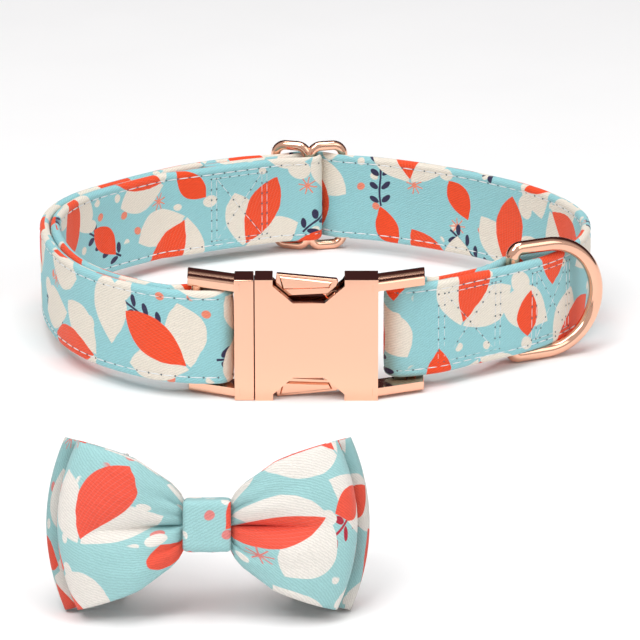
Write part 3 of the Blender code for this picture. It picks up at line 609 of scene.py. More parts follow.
class StrapPath:
    """Middle line of the strap at even steps, with its side direction and thickness, in world plan places.

    The buckle's two strap bars are kept in the loop's own places, like the buckle itself.
    """

    def __init__(self, step):
        outline = Outline()
        slider = slider_places(outline)
        male_bar = crossbar_place(-1, outline)
        female_bar = crossbar_place(1, outline)
        pocket = outline.length - POCKET_FROM_BUCKLE
        d_bar = outline.inside(pocket, STRAP_THICK + TOUCH_GAP + D_WIRE / 2)
        heading = outline.frame(pocket)[1]
        self.ring_turn = math.atan2(-heading[1], -heading[0]) - D_SWING
        route = np.array(self.turned_route(outline, slider, male_bar, female_bar, d_bar))
        self.fill(route, step, outline.inside(outline.slider, 0))
        self.places += MODEL_SHIFT
        self.slider = {name: place + MODEL_SHIFT for name, place in slider.items()}
        self.d_bar = d_bar + MODEL_SHIFT
        self.male_bar = male_bar
        self.female_bar = female_bar
        self.length = self.along[-1]

    def turned_route(self, outline, slider, male_bar, female_bar, d_bar):
        """The route as a belt round the bars and folds, from the adjuster's end to the end behind the D-ring."""
        half = STRAP_THICK / 2
        layer = STRAP_THICK + TOUCH_GAP
        wrap = CROSSBAR_THICK / 2 + TOUCH_GAP + half
        end = outline.length
        male_fold = outline.inside(0, half + wrap) + outline.frame(0)[1] * (wrap + half)
        female_fold = outline.inside(end, half + wrap) - outline.frame(end)[1] * (wrap + half)
        pinched = STRAP_PINCHED + TOUCH_GAP
        beside_wire = SLIDER_WIRE / 2 + TOUCH_GAP + STRAP_PINCHED / 2
        from_slider = SLIDER_WIDTH / 2 + STRAP_EASE

        def run(first, last, depth):
            count = max(2, round(abs(last - first) / STATION_STEP))
            return [(outline.inside(u, depth), 0.0) for u in np.linspace(first, last, count)]

        male_along = outline.at_x(male_bar[0], True)
        female_along = outline.at_x(female_bar[0], False)
        pocket = end - POCKET_FROM_BUCKLE
        before = outline.slider - from_slider
        after = outline.slider + from_slider
        tail_start = before - ADJUSTER_TAIL
        turns = run(tail_start, before, half + layer)
        turns += [(slider["left"], beside_wire + pinched)]
        turns += [(slider["middle left"], -beside_wire), (slider["middle right"], -beside_wire)]
        turns += [(slider["left"], -beside_wire - 2 * pinched)]
        turns += run(before, tail_start, half + 2 * layer)
        turns += run(tail_start - TAIL_EASE, male_along + STRAP_EASE, half + layer)
        turns += [(male_bar, -wrap), (male_fold, -wrap), (male_bar, -wrap)]
        turns += run(male_along + STRAP_EASE, before, half)
        turns += [(slider["left"], beside_wire)]
        turns += [(slider["middle left"], -beside_wire - pinched)]
        turns += [(slider["middle right"], -beside_wire - pinched)]
        turns += [(slider["right"], beside_wire)]
        turns += run(after, female_along - STRAP_EASE, half)
        turns += [(female_bar, -wrap), (female_fold, -wrap), (female_bar, -wrap)]
        turns += run(female_along - STRAP_EASE, pocket + POCKET_REACH, half + layer)
        turns += [(d_bar, -(D_WIRE / 2 + TOUCH_GAP + half))]
        turns += run(pocket - POCKET_REACH, end - BUCKLE_TAIL, half + layer)
        return belt(turns)

    def fill(self, route, step, pinch_centre):
        """Even steps along the route, eased at its corners and finer in its tight turns."""
        gaps = np.linalg.norm(np.diff(route, axis=0), axis=1)
        route = route[np.concatenate([[True], gaps > 1e-6])]
        along = lengths_along(route)
        fine_step = 0.1 * MM
        points = table_at(np.arange(0, along[-1], fine_step), along, route)
        easing = 8
        reach = 3 * easing
        weights = np.exp(-0.5 * (np.arange(-reach, reach + 1) / easing) ** 2)
        weights /= weights.sum()
        padded = np.pad(points, ((reach, reach), (0, 0)), mode="reflect", reflect_type="odd")
        points = np.stack([np.convolve(column, weights, mode="valid") for column in padded.T], axis=1)
        ahead = np.gradient(points, axis=0)
        ahead /= np.linalg.norm(ahead, axis=1)[:, None]
        turning = np.linalg.norm(np.gradient(ahead, axis=0), axis=1) / fine_step
        density = 1 + 1.6 * np.minimum(1, turning * 6 * MM)
        travelled = np.concatenate([[0], np.cumsum(density[1:] * fine_step)])
        count = int(travelled[-1] / step)
        index = np.arange(len(points))
        picked = np.interp(np.linspace(0, travelled[-1], count), travelled, index)
        self.places = table_at(picked, index, points)
        ahead = table_at(picked, index, ahead)
        self.ahead = ahead / np.linalg.norm(ahead, axis=1)[:, None]
        self.sides = np.stack([self.ahead[:, 1], -self.ahead[:, 0]], axis=1)
        self.along = picked * fine_step
        near = np.minimum(1, np.linalg.norm(self.places - pinch_centre, axis=1) / PINCH_REACH)
        share = np.clip(2 * near - 1, 0, 1)
        self.thick = STRAP_PINCHED + (STRAP_THICK - STRAP_PINCHED) * share * share * (3 - 2 * share)

    def read(self, along):
        """Plan place, heading, side direction and thickness at a length along the strap."""
        tables = (self.places, self.ahead, self.sides, self.thick[:, None])
        place, ahead, side, thick = (table_at(along, self.along, table) for table in tables)
        return place, ahead, side, thick[0]

    def nearest(self, plan_x, front, low, high):
        """Length along the strap, between two lengths, where it passes a plan x on the front or rear half."""
        inside = (self.along >= low) & (self.along <= high) & ((self.places[:, 1] < LOOP_MIDDLE_Y) == front)
        index = np.where(inside)[0]
        return float(self.along[index[np.argmin(abs(self.places[index, 0] - plan_x))]])


# Shader helpers

class Nodes:
    """Adds shader nodes to one tree and links them."""

    def __init__(self, tree):
        self.tree = tree

    def add(self, kind, **settings):
        node = self.tree.nodes.new(kind)
        count = len(self.tree.nodes)
        node.location = (count % 14 * 190, -(count // 14) * 240)
        for name, value in settings.items():
            setattr(node, name, value)
        return node

    def feed(self, value, socket):
        if isinstance(value, bpy.types.NodeSocket):
            self.tree.links.new(value, socket)
        else:
            socket.default_value = value

    def output(self, kind, output, inputs, **settings):
        """One output of a new node whose inputs are fed by name or number."""
        node = self.add(kind, **settings)
        for key, value in inputs.items():
            self.feed(value, node.inputs[key])
        return node.outputs[output]

    def math(self, operation, a, b=0.0, c=0.0):
        return self.output("ShaderNodeMath", 0, {0: a, 1: b, 2: c}, operation=operation)

    def times(self, a, b):
        return self.math("MULTIPLY", a, b)

    def plus(self, a, b):
        return self.math("ADD", a, b)

    def minus(self, a, b):
        return self.math("SUBTRACT", a, b)

    def absolute(self, a):
        return self.math("ABSOLUTE", a)

    def vector(self, operation, a, b=(0.0, 0.0, 0.0)):
        return self.output("ShaderNodeVectorMath", "Vector", {0: a, 1: b}, operation=operation)

    def scaled(self, vector, factor):
        return self.output("ShaderNodeVectorMath", "Vector", {0: vector, "Scale": factor}, operation="SCALE")

    def turned(self, vector, angle):
        inputs = {"Vector": vector, "Angle": angle}
        return self.output("ShaderNodeVectorRotate", "Vector", inputs, rotation_type="Z_AXIS")

    def split(self, vector):
        node = self.add("ShaderNodeSeparateXYZ")
        self.feed(vector, node.inputs[0])
        return node.outputs["X"], node.outputs["Y"], node.outputs["Z"]

    def join(self, x, y, z=0.0):
        return self.output("ShaderNodeCombineXYZ", 0, {"X": x, "Y": y, "Z": z})

    def mix(self, factor, a, b):
        return self.output("ShaderNodeMix", 2, {0: factor, 6: a, 7: b}, data_type="RGBA")

    def ramp(self, value, low, high):
        """0 below low and 1 above high, smooth between them."""
        inputs = {"Value": value, "From Min": low, "From Max": high}
        return self.output("ShaderNodeMapRange", "Result", inputs, interpolation_type="SMOOTHSTEP")

    def noise(self, vector, scale, detail=2.0):
        return self.output("ShaderNodeTexNoise", "Fac", {"Vector": vector, "Scale": scale, "Detail": detail})

    def noise_colour(self, vector):
        node = self.add("ShaderNodeTexWhiteNoise", noise_dimensions="3D")
        self.feed(vector, node.inputs["Vector"])
        return node.outputs["Value"], node.outputs["Color"]


def node_group(name, inputs, outputs):
    """A new shader node group with named sockets: (tree, its input node's outputs, its output node's inputs)."""
    tree = bpy.data.node_groups.new(name, "ShaderNodeTree")
    for socket_name, kind, default in inputs:
        socket = tree.interface.new_socket(name=socket_name, in_out="INPUT", socket_type=kind)
        if default is not None:
            socket.default_value = default
    for socket_name, kind in outputs:
        tree.interface.new_socket(name=socket_name, in_out="OUTPUT", socket_type=kind)
    start = tree.nodes.new("NodeGroupInput")
    end = tree.nodes.new("NodeGroupOutput")
    return tree, start.outputs, end.inputs


def cell_scatter(nodes, place, spacing, turn, offset, jitter):
    """Places about the middle of a turned grid's cell, turned at random, and two random values of the cell."""
    moved = nodes.vector("ADD", nodes.turned(place, turn), (offset[0], offset[1], 0.0))
    scaled = nodes.vector("DIVIDE", moved, nodes.join(spacing, spacing, 1.0))
    cell = nodes.vector("FLOOR", scaled)
    x, y, _ = nodes.split(nodes.vector("SUBTRACT", nodes.vector("SUBTRACT", scaled, cell), (0.5, 0.5, 0.0)))
    pick, colour = nodes.noise_colour(nodes.vector("ADD", cell, (offset[0], offset[1], 3.7)))
    red, green, blue = nodes.split(colour)

    def moved_in_cell(share, chance):
        shift = nodes.math("MULTIPLY_ADD", chance, jitter, -jitter / 2)
        return nodes.times(nodes.minus(share, shift), spacing)

    x = moved_in_cell(x, red)
    y = moved_in_cell(y, green)
    return nodes.turned(nodes.join(x, y), nodes.times(blue, 2 * math.pi)), pick, green


def petal_mask(nodes, local, angle, start, half_length, half_width, lean=0.0):
    """A pointed petal that starts at a distance from the cell's middle, and its own (x, y)."""
    x, y, _ = nodes.split(nodes.turned(local, angle))
    x = nodes.minus(x, start + half_length)
    share = nodes.math("DIVIDE", x, half_length)
    swell = nodes.minus(1.0, nodes.times(share, share))
    y = nodes.minus(y, nodes.times(swell, lean))
    width = nodes.times(swell, nodes.math("MULTIPLY_ADD", share, 0.22 * half_width, half_width))
    return nodes.ramp(nodes.minus(width, nodes.absolute(y)), -0.07, 0.07), x, y


def pebble_mask(nodes, local, centre, radius_x, radius_y):
    """An ellipse with a soft edge."""
    x, y, _ = nodes.split(local)
    x = nodes.math("DIVIDE", nodes.minus(x, centre[0]), radius_x)
    y = nodes.math("DIVIDE", nodes.minus(y, centre[1]), radius_y)
    away = nodes.math("SQRT", nodes.plus(nodes.times(x, x), nodes.times(y, y)))
    soft = 0.07 / min(radius_x, radius_y)
    return nodes.minus(1.0, nodes.ramp(away, 1 - soft, 1 + soft))


def leaf_print_group():
    """Petals, veined leaves, pebbles, starbursts and sprigs scattered over a plain ground."""
    tree, given, out = node_group(
        "Petal and leaf print",
        (
            ("Place", "NodeSocketVector", None),
            ("Spacing", "NodeSocketFloat", PRINT_UNITS),
            *((paint, "NodeSocketColor", None) for paint in ("Ground", "Petals", "Leaves", "Stars", "Sprigs")),
        ),
        (("Color", "NodeSocketColor"), ("Ink", "NodeSocketFloat")),
    )
    nodes = Nodes(tree)
    place = given["Place"]
    wobble = nodes.noise(place, 0.35)
    place = nodes.vector("ADD", place, nodes.scaled(nodes.join(wobble, wobble), 0.5))
    spacing = given["Spacing"]
    colour = given["Ground"]

    def lay(mask, paint):
        nonlocal colour
        colour = nodes.mix(mask, colour, paint)

    def at_most(value, limit):
        return nodes.math("LESS_THAN", value, limit)

    # Small dots in clusters
    small, small_pick, _ = cell_scatter(nodes, place, nodes.times(spacing, 0.21), 0.7, (3.1, 7.9), 0.35)
    cluster = nodes.ramp(nodes.noise(place, 0.085, 0.0), 0.54, 0.56)
    dots = nodes.times(pebble_mask(nodes, small, (0, 0), 0.85, 0.75), cluster)
    lay(nodes.times(dots, at_most(small_pick, 0.40)), given["Petals"])
    lay(nodes.times(dots, nodes.math("GREATER_THAN", small_pick, 0.80)), given["Stars"])

    # Starbursts
    star, star_pick, _ = cell_scatter(nodes, place, nodes.times(spacing, 0.74), 1.1, (5.6, 15.0), 0.3)
    x, y, _ = nodes.split(star)
    reach = nodes.math("SQRT", nodes.plus(nodes.times(x, x), nodes.times(y, y)))
    turn = nodes.math("ARCTAN2", y, x)
    off_ray = nodes.times(nodes.absolute(nodes.math("SINE", nodes.times(turn, 4.0))), nodes.times(reach, 0.25))
    rays = nodes.times(
        nodes.minus(1.0, nodes.ramp(off_ray, 0.08, 0.16)),
        nodes.minus(1.0, nodes.ramp(reach, 1.75, 1.9)),
    )
    lay(nodes.times(rays, at_most(star_pick, 0.42)), given["Stars"])

    # Sprigs: a wavy stem with leaflets on both sides
    sprig, sprig_pick, _ = cell_scatter(nodes, place, nodes.times(spacing, 1.05), -0.5, (17.0, 2.5), 0.3)
    x, y, _ = nodes.split(nodes.scaled(sprig, 0.72))
    y = nodes.minus(y, nodes.times(nodes.math("SINE", nodes.times(x, 0.45)), 0.5))
    inside = nodes.minus(1.0, nodes.ramp(nodes.absolute(x), 4.0, 4.1))
    stem = nodes.times(nodes.minus(1.0, nodes.ramp(nodes.absolute(y), 0.12, 0.2)), inside)
    folded_y = nodes.minus(nodes.absolute(y), 0.95)
    step_x = nodes.minus(nodes.math("FLOORED_MODULO", nodes.plus(x, 4.0), 2.0), 1.0)
    step_x = nodes.minus(step_x, nodes.times(folded_y, 0.45))
    leaflet = nodes.plus(
        nodes.math("POWER", nodes.absolute(nodes.math("DIVIDE", step_x, 0.46)), 2.0),
        nodes.math("POWER", nodes.absolute(nodes.math("DIVIDE", folded_y, 0.72)), 2.0),
    )
    leaflet = nodes.times(nodes.minus(1.0, nodes.ramp(leaflet, 0.85, 1.15)), inside)
    sprigs = nodes.times(nodes.math("MAXIMUM", stem, leaflet), at_most(sprig_pick, 0.80))
    lay(sprigs, given["Sprigs"])

    # Single petals and pebbles
    second, second_pick, _ = cell_scatter(nodes, place, spacing, 0.32, (11.5, 4.2), 0.22)
    drop, _, _ = petal_mask(nodes, second, 0.2, -7.0, 6.6, 4.0, 0.8)
    lay(nodes.times(drop, at_most(second_pick, 0.62)), given["Petals"])
    pebble = pebble_mask(nodes, second, (4.4, 3.6), 2.4, 1.9)
    lay(nodes.times(pebble, at_most(second_pick, 0.60)), given["Petals"])
    near_pebble = pebble_mask(nodes, second, (-4.8, -4.4), 1.5, 1.2)
    lay(nodes.times(near_pebble, nodes.math("GREATER_THAN", second_pick, 0.30)), given["Petals"])

    # Fans of two petals and a veined leaf, and a small bud
    fan, _, _ = cell_scatter(nodes, place, spacing, 0.32, (1.0, -6.3), 0.18)
    for angle, length, width in ((0.66, 5.8, 3.4), (-0.74, 6.1, 3.6)):
        petal, _, _ = petal_mask(nodes, nodes.vector("ADD", fan, (7.2, 0.0, 0.0)), angle, 0.4, length, width, 0.5)
        lay(petal, given["Petals"])
    leaf, leaf_x, leaf_y = petal_mask(nodes, nodes.vector("ADD", fan, (7.2, 0.0, 0.0)), 0.0, 1.0, 7.4, 3.5)
    lay(leaf, given["Leaves"])
    vein = nodes.math("SINE", nodes.times(nodes.math("MULTIPLY_ADD", leaf_x, 0.12, leaf_y), 9.5))
    vein = nodes.times(nodes.ramp(vein, 0.86, 0.99), leaf)
    colour = nodes.mix(nodes.times(vein, 0.35), colour, given["Stars"])
    bud, _, _ = petal_mask(nodes, nodes.vector("ADD", second, (0.0, -2.2, 0.0)), 2.2, -2.0, 4.4, 2.5, 0.4)
    lay(nodes.times(bud, nodes.math("GREATER_THAN", second_pick, 0.45)), given["Leaves"])

    tree.links.new(colour, out["Color"])
    tree.links.new(nodes.math("MAXIMUM", sprigs, leaf), out["Ink"])
    return tree


def twill_group():
    """Fine diagonal ribs of cotton twill, with painted shade in their furrows, and a slow change of tone over the
    cloth.
    """
    tree, given, out = node_group(
        "Cotton twill",
        (("Place", "NodeSocketVector", None), ("Pitch", "NodeSocketFloat", 0.72)),
        (("Height", "NodeSocketFloat"), ("Shade", "NodeSocketFloat")),
    )
    nodes = Nodes(tree)
    x, y, _ = nodes.split(given["Place"])
    ragged = nodes.times(nodes.noise(given["Place"], 1.4), 0.9)
    across = nodes.plus(nodes.math("MULTIPLY_ADD", x, 0.55, y), ragged)
    rib = nodes.math("SINE", nodes.math("DIVIDE", nodes.times(across, 2 * math.pi), given["Pitch"]))
    thread = nodes.math("SINE", nodes.times(nodes.math("MULTIPLY_ADD", y, -0.6, x), 14.0))
    rib = nodes.math("MULTIPLY_ADD", rib, 0.5, 0.5)
    height = nodes.math("MULTIPLY_ADD", nodes.times(thread, rib), 0.18, rib)
    slub = nodes.noise(given["Place"], 2.6, 3.0)
    # The Shade output is partly painted shade, darker in the ribs' furrows, and partly the slubs' uneven tone
    shade = nodes.math("MULTIPLY_ADD", nodes.plus(rib, slub), 0.15, 0.85)
    tree.links.new(nodes.math("MULTIPLY_ADD", slub, 0.35, height), out["Height"])
    tree.links.new(shade, out["Shade"])
    return tree


def polish_group():
    """Faint smears and specks on a polished plate, as a change of roughness and a low relief."""
    tree, given, out = node_group(
        "Plate polish",
        (("Place", "NodeSocketVector", None), ("Roughness", "NodeSocketFloat", 0.12)),
        (("Roughness", "NodeSocketFloat"), ("Height", "NodeSocketFloat")),
    )
    nodes = Nodes(tree)
    smear = nodes.noise(given["Place"], 0.12, 4.0)
    fine = nodes.noise(given["Place"], 1.9, 3.0)
    rough = nodes.math("MULTIPLY_ADD", nodes.math("MULTIPLY_ADD", fine, 0.4, smear), 0.06, -0.035)
    tree.links.new(nodes.plus(given["Roughness"], rough), out["Roughness"])
    tree.links.new(nodes.math("MULTIPLY_ADD", fine, 0.3, smear), out["Height"])
    return tree


def shared_group(name, build):
    return bpy.data.node_groups.get(name) or build()


def new_material(name):
    """An empty material with its shader and output linked: (material, nodes, shader)."""
    material = bpy.data.materials.new(name)
    material.use_nodes = True
    return material, Nodes(material.node_tree), material.node_tree.nodes["Principled BSDF"]


def millimetres(nodes, uv_map=None):
    """Places in millimetres, from the cloth's own UV map or from the object's coordinates."""
    if uv_map:
        vector = nodes.add("ShaderNodeUVMap", uv_map=uv_map).outputs["UV"]
    else:
        vector = nodes.add("ShaderNodeTexCoord").outputs["Object"]
    return nodes.scaled(vector, 1000.0)


def use_group(nodes, tree, **values):
    """The outputs of a node group whose inputs are fed with the values."""
    node = nodes.add("ShaderNodeGroup", node_tree=tree)
    for name, value in values.items():
        nodes.feed(value, node.inputs[name])
    return node.outputs


def add_bump(nodes, shader, height, distance, strength=1.0):
    bump = nodes.add("ShaderNodeBump")
    bump.inputs["Strength"].default_value = strength
    bump.inputs["Distance"].default_value = distance
    nodes.feed(height, bump.inputs["Height"])
    nodes.feed(bump.outputs["Normal"], shader.inputs["Normal"])


def rgba(colour, factor=1.0):
    """A colour with its alpha, made lighter or darker by a factor."""
    return (*(min(1.0, c * factor) for c in colour), 1.0)


def printed_cloth(name, shades, offset=(0.0, 0.0)):
    """Printed cotton: the print and the twill both follow the cloth's UV map."""
    settings = bpy.context.scene.collar_print
    material, nodes, shader = new_material(name)
    place = nodes.vector("ADD", millimetres(nodes, "Cloth"), (offset[0], offset[1], 0.0))
    painted = use_group(
        nodes, shared_group("Petal and leaf print", leaf_print_group),
        Place=nodes.scaled(place, PRINT_UNITS * MM / settings.motif_size), Spacing=PRINT_UNITS,
        Ground=rgba(shades.get("ground", settings.ground)), Petals=rgba(shades.get("cream", settings.cream)),
        Leaves=rgba(shades.get("leaf", settings.leaf)), Stars=rgba(shades.get("coral", settings.coral)),
        Sprigs=rgba(shades.get("ink", settings.ink)),
    )
    twill = use_group(nodes, shared_group("Cotton twill", twill_group), Place=place, Pitch=0.72)
    # The twill's Shade darkens the print: painted shade in the furrows, and the yarn's uneven tone
    shade = nodes.join(twill["Shade"], twill["Shade"], twill["Shade"])
    colour = nodes.vector("MULTIPLY", painted["Color"], shade)
    nodes.feed(colour, shader.inputs["Base Color"])
    nodes.feed(nodes.math("MULTIPLY_ADD", painted["Ink"], -0.12, 0.82), shader.inputs["Roughness"])
    shader.inputs["Sheen Weight"].default_value = 0.12
    shader.inputs["Sheen Roughness"].default_value = 0.6
    shader.inputs["Specular IOR Level"].default_value = 0.3
    add_bump(nodes, shader, twill["Height"], 0.07 * MM, 0.8)
    return material


def rose_gold(name, factor=1.0, roughness=None):
    """Polished rose gold plate."""
    made = bpy.data.materials.get(name)
    if made:
        return made
    settings = bpy.context.scene.collar_metal
    material, nodes, shader = new_material(name)
    finish = use_group(
        nodes, shared_group("Plate polish", polish_group), Place=millimetres(nodes),
        Roughness=settings.roughness if roughness is None else roughness,
    )
    shader.inputs["Base Color"].default_value = rgba(settings.colour, factor)
    shader.inputs["Metallic"].default_value = 1.0
    nodes.feed(finish["Roughness"], shader.inputs["Roughness"])
    add_bump(nodes, shader, finish["Height"], 0.01 * MM, 0.25)
    return material


def mottled_material(name, scale, detail, colours, roughness, specular, relief=0.0):
    """A matt material whose colour wanders between two, and whose surface may rise and fall with it."""
    material, nodes, shader = new_material(name)
    pattern = nodes.noise(millimetres(nodes), scale, detail)
    nodes.feed(nodes.mix(pattern, *(rgba(colour) for colour in colours)), shader.inputs["Base Color"])
    shader.inputs["Roughness"].default_value = roughness
    shader.inputs["Specular IOR Level"].default_value = specular
    if relief:
        add_bump(nodes, shader, pattern, relief)
    return material


def shadow_material():
    """Painted shadow for the depth of a seam: a dark, rough colour."""
    colours = (0.020, 0.009, 0.008), (0.040, 0.018, 0.015)
    return mottled_material("Seam shadow", 0.8, 2.0, colours, 0.8, 0.1)


def thread_material():
    """White sewing thread with its two plies."""
    colours = (0.66, 0.67, 0.68), (0.90, 0.90, 0.90)
    return mottled_material("White thread", 3.2, 2.0, colours, 0.55, 0.5, 0.05 * MM)


def needle_hole_shadow_material():
    """The shadow in a hole that the needle left."""
    colours = (0.06, 0.08, 0.10), (0.20, 0.25, 0.28)
    return mottled_material("Needle hole shadow", 1.5, 1.0, colours, 0.95, 0.5)


def elastic_material():
    """White woven elastic with fine ribs across the band, and painted shade in the furrows between them."""
    material, nodes, shader = new_material("White elastic")
    x, y, z = nodes.split(millimetres(nodes))
    rib = nodes.math("SINE", nodes.times(x, 2 * math.pi / 0.8))
    weft = nodes.math("SINE", nodes.times(nodes.plus(y, z), 2 * math.pi / 0.5))
    height = nodes.math("MULTIPLY_ADD", weft, 0.3, rib)
    # The colour is painted darker where the ribs sink: painted shade in their furrows
    shade = nodes.ramp(height, -1.2, 1.2)
    nodes.feed(nodes.mix(shade, (0.62, 0.61, 0.58, 1.0), (0.84, 0.83, 0.80, 1.0)), shader.inputs["Base Color"])
    shader.inputs["Roughness"].default_value = 0.85
    add_bump(nodes, shader, height, 0.08 * MM)
    return material


# Strap

def strap_profile(settings):
    """Half of the strap's section, from one edge to the other: (place across, share of half the thickness)."""
    half = STRAP_WIDTH / 2
    line = half - settings.edge_margin
    groove = 1 - settings.groove / (STRAP_THICK / 2)
    rows = [
        (half, 0.0), (half - 0.12 * MM, 0.42), (half - 0.45 * MM, 0.76), (half - 0.95 * MM, 0.93),
        (half - 1.4 * MM, 0.97), (line + 0.28 * MM, groove + 0.06), (line, groove),
        (line - 0.28 * MM, groove + 0.05), (line - 0.8 * MM, 0.95), (line - 1.8 * MM, 1.0),
        (line - 4.2 * MM, 1.02), (line - 7.4 * MM, 1.03),
    ]
    return rows + [(0.0, 1.03)] + [(-place, share) for place, share in reversed(rows)]


def cloth_ripple(along, across):
    """How far the padded cloth stands out at a place on the strap."""
    return noise.noise(Vector((along * 90, across * 60, 0.0))) * 0.10 * MM


def make_strap(path, settings, material):
    """The strap as one length of padded cotton tube along its route, drawn in where it is stitched."""
    front = strap_profile(settings)
    ring = front + [(place, -share) for place, share in reversed(front[1:-1])] + [front[0]]
    steps = [math.hypot(b[0] - a[0], (b[1] - a[1]) * STRAP_THICK / 2) for a, b in zip(ring, ring[1:])]
    around = np.concatenate([[0], np.cumsum(steps)])
    last = len(path.along) - 1
    turns = len(ring) - 1
    line = STRAP_WIDTH / 2 - settings.edge_margin

    def counted(x, y):
        return round((x + 1) / 2 * last), round((y + 1) / 2 * turns)

    def flat_place(x, y):
        station, row = counted(x, y)
        return path.along[station], around[row]

    bm = cloth_grid(last, turns, flat_place)
    for vert in bm.verts:
        station, row = counted(vert.co.x, vert.co.y)
        across, share = ring[row]
        along = path.along[station]
        from_end = min(along, path.length - along)
        closing = math.sqrt(min(1.0, (from_end + 0.05 * MM) / (1.2 * MM)))

        # The stitches pucker the cloth, its padding ripples and its edge isn't quite straight
        phase = math.cos(2 * math.pi * along / settings.stitch_pitch)
        near_line = math.exp(-(((abs(across) - line) / (0.7 * MM)) ** 2))
        pucker = -0.06 * MM * phase * near_line
        ripple = cloth_ripple(along, across)
        depth = share * path.thick[station] / 2 * closing
        depth += math.copysign(pucker + ripple, share) if share else 0.0
        place = path.places[station] + path.sides[station] * depth
        edge_wave = noise.noise(Vector((along * 55, math.copysign(2.0, across), 4.0))) * 0.14 * MM
        high = MIDDLE_HEIGHT + across + edge_wave * abs(across) / (STRAP_WIDTH / 2)
        vert.co = (*place, high)
    bmesh.ops.remove_doubles(bm, verts=bm.verts, dist=0.001 * MM)
    bmesh.ops.holes_fill(bm, edges=[e for e in bm.edges if e.is_boundary])
    return mesh_object("printed_strap", bm, material)


class Sewing:
    """Collects stitches and the needle holes between them, drawn as dark discs of painted shadow, on one mesh."""

    def __init__(self, path, settings):
        self.path = path
        self.settings = settings
        self.bm = bmesh.new()
        self.sewn = bmesh.new()
        self.pieces = 0
        rows = sorted(strap_profile(settings))
        self.profile = [row[0] for row in rows], [row[1] for row in rows]

    def gather(self):
        """Adds what was sewn since the last time to the whole, because an operator is slow on a large bmesh."""
        mesh = bpy.data.meshes.new("stitches")
        self.bm.to_mesh(mesh)
        self.sewn.from_mesh(mesh)
        bpy.data.meshes.remove(mesh)
        self.bm.clear()
        self.pieces = 0

    def count_piece(self):
        self.pieces += 1
        if self.pieces == 24:
            self.gather()

    def surface(self, along, across, face):
        """Place, heading and outward direction on one face of the strap."""
        plan, ahead, side, thick = self.path.read(along)
        out = Vector((*(side * face), 0.0)).normalized()
        depth = float(np.interp(across, *self.profile)) * thick / 2 + cloth_ripple(along, across)
        return Vector((*plan, MIDDLE_HEIGHT + across)) + out * depth, Vector((*ahead, 0.0)).normalized(), out

    def stitch(self, start, end, face, radius):
        """One thread from hole to hole, each (length along the strap, place across it)."""
        ends = []
        for along, across in (start, end):
            place, _, out = self.surface(along, across, face)
            ends.append(place)
        middle = (ends[0] + ends[1]) / 2 + out * (radius * 0.35 + 0.03 * MM)
        ahead = ends[1] - ends[0]
        half = ahead.length / 2
        ahead.normalize()
        across = out.cross(ahead).normalized()
        frame_matrix = Matrix((ahead * half, across * radius, out * radius)).transposed().to_4x4()
        frame_matrix.translation = middle
        bmesh.ops.create_uvsphere(
            self.bm, u_segments=6, v_segments=6, radius=1.0,
            matrix=frame_matrix @ Matrix.Rotation(math.pi / 2, 4, "Y"),
        )
        self.count_piece()

    def hole(self, along, across, face, radius):
        place, ahead, out = self.surface(along, across, face)
        frame_matrix = Matrix((ahead, out.cross(ahead), out)).transposed().to_4x4()
        frame_matrix.translation = place + out * 0.12 * MM
        # The hole is a dark disc just above the cloth: painted shadow, not a cut
        made = bmesh.ops.create_circle(self.bm, cap_ends=True, segments=6, radius=radius, matrix=frame_matrix)
        made["verts"][0].link_faces[0].material_index = 1
        self.count_piece()

    def row(self, start, end, face, pitch, share, radius):
        """A row of stitches between two places on the strap, and the painted shadows of the needle holes at both ends
        of each.
        """
        count = max(1, round(math.hypot(end[0] - start[0], end[1] - start[1]) / pitch))

        def place(way):
            return [a + (b - a) * way for a, b in zip(start, end)]

        for index in range(count):
            ends = [place((index + 0.5 + side * share / 2) / count) for side in (-1, 1)]
            self.stitch(*ends, face, radius)
        for index in range(count + 1):
            self.hole(*place(index / count), face, NEEDLE_HOLE_SHADOW)


def make_stitches(path, settings):
    """Edge stitching on both faces of the strap, and the crossed boxes where its ends are sewn down."""
    sewing = Sewing(path, settings)
    pitch = settings.stitch_pitch
    line = STRAP_WIDTH / 2 - settings.edge_margin
    share = settings.stitch_length / pitch
    count = int((path.length - 2 * STITCH_START) / pitch)
    for face in (-1, 1):
        for across in (-line, line):
            ends = (STITCH_START, across), (STITCH_START + count * pitch, across)
            sewing.row(*ends, face, pitch, share, settings.thread_radius)
    high = line - BOX_INSET
    for face, first, last in box_spans(path):
        near, far = first + BOX_DOUBLE, last - BOX_DOUBLE
        pairs = [((place, -high), (place, high)) for place in (first, near, far, last)]
        pairs += [((first, -high), (last, -high)), ((first, high), (last, high))]
        pairs += [((near, -high), (far, high)), ((near, high), (far, -high))]
        for begin, end in pairs:
            sewing.row(begin, end, face, BOX_PITCH, BOX_STITCH_SHARE, settings.box_thread_radius)
    sewing.gather()
    obj = mesh_object("strap_stitching", sewing.sewn, thread_material(), recalculate=False)
    obj.data.materials.append(needle_hole_shadow_material())
    return obj


def box_spans(path):
    """The crossed boxes: (face of the strap, first and last length along it)."""
    outer = path.length - BUCKLE_TAIL - BOX_CLEAR
    boxes = [[path.nearest(x, True, path.length / 2, outer) for x in box] for box in FRONT_BOXES]
    boxes.append([path.nearest(x, False, *SLIDER_BOX_SPAN) for x in SLIDER_BOX])
    return [(-1, min(ends), max(ends)) for ends in boxes]


# Metal fittings

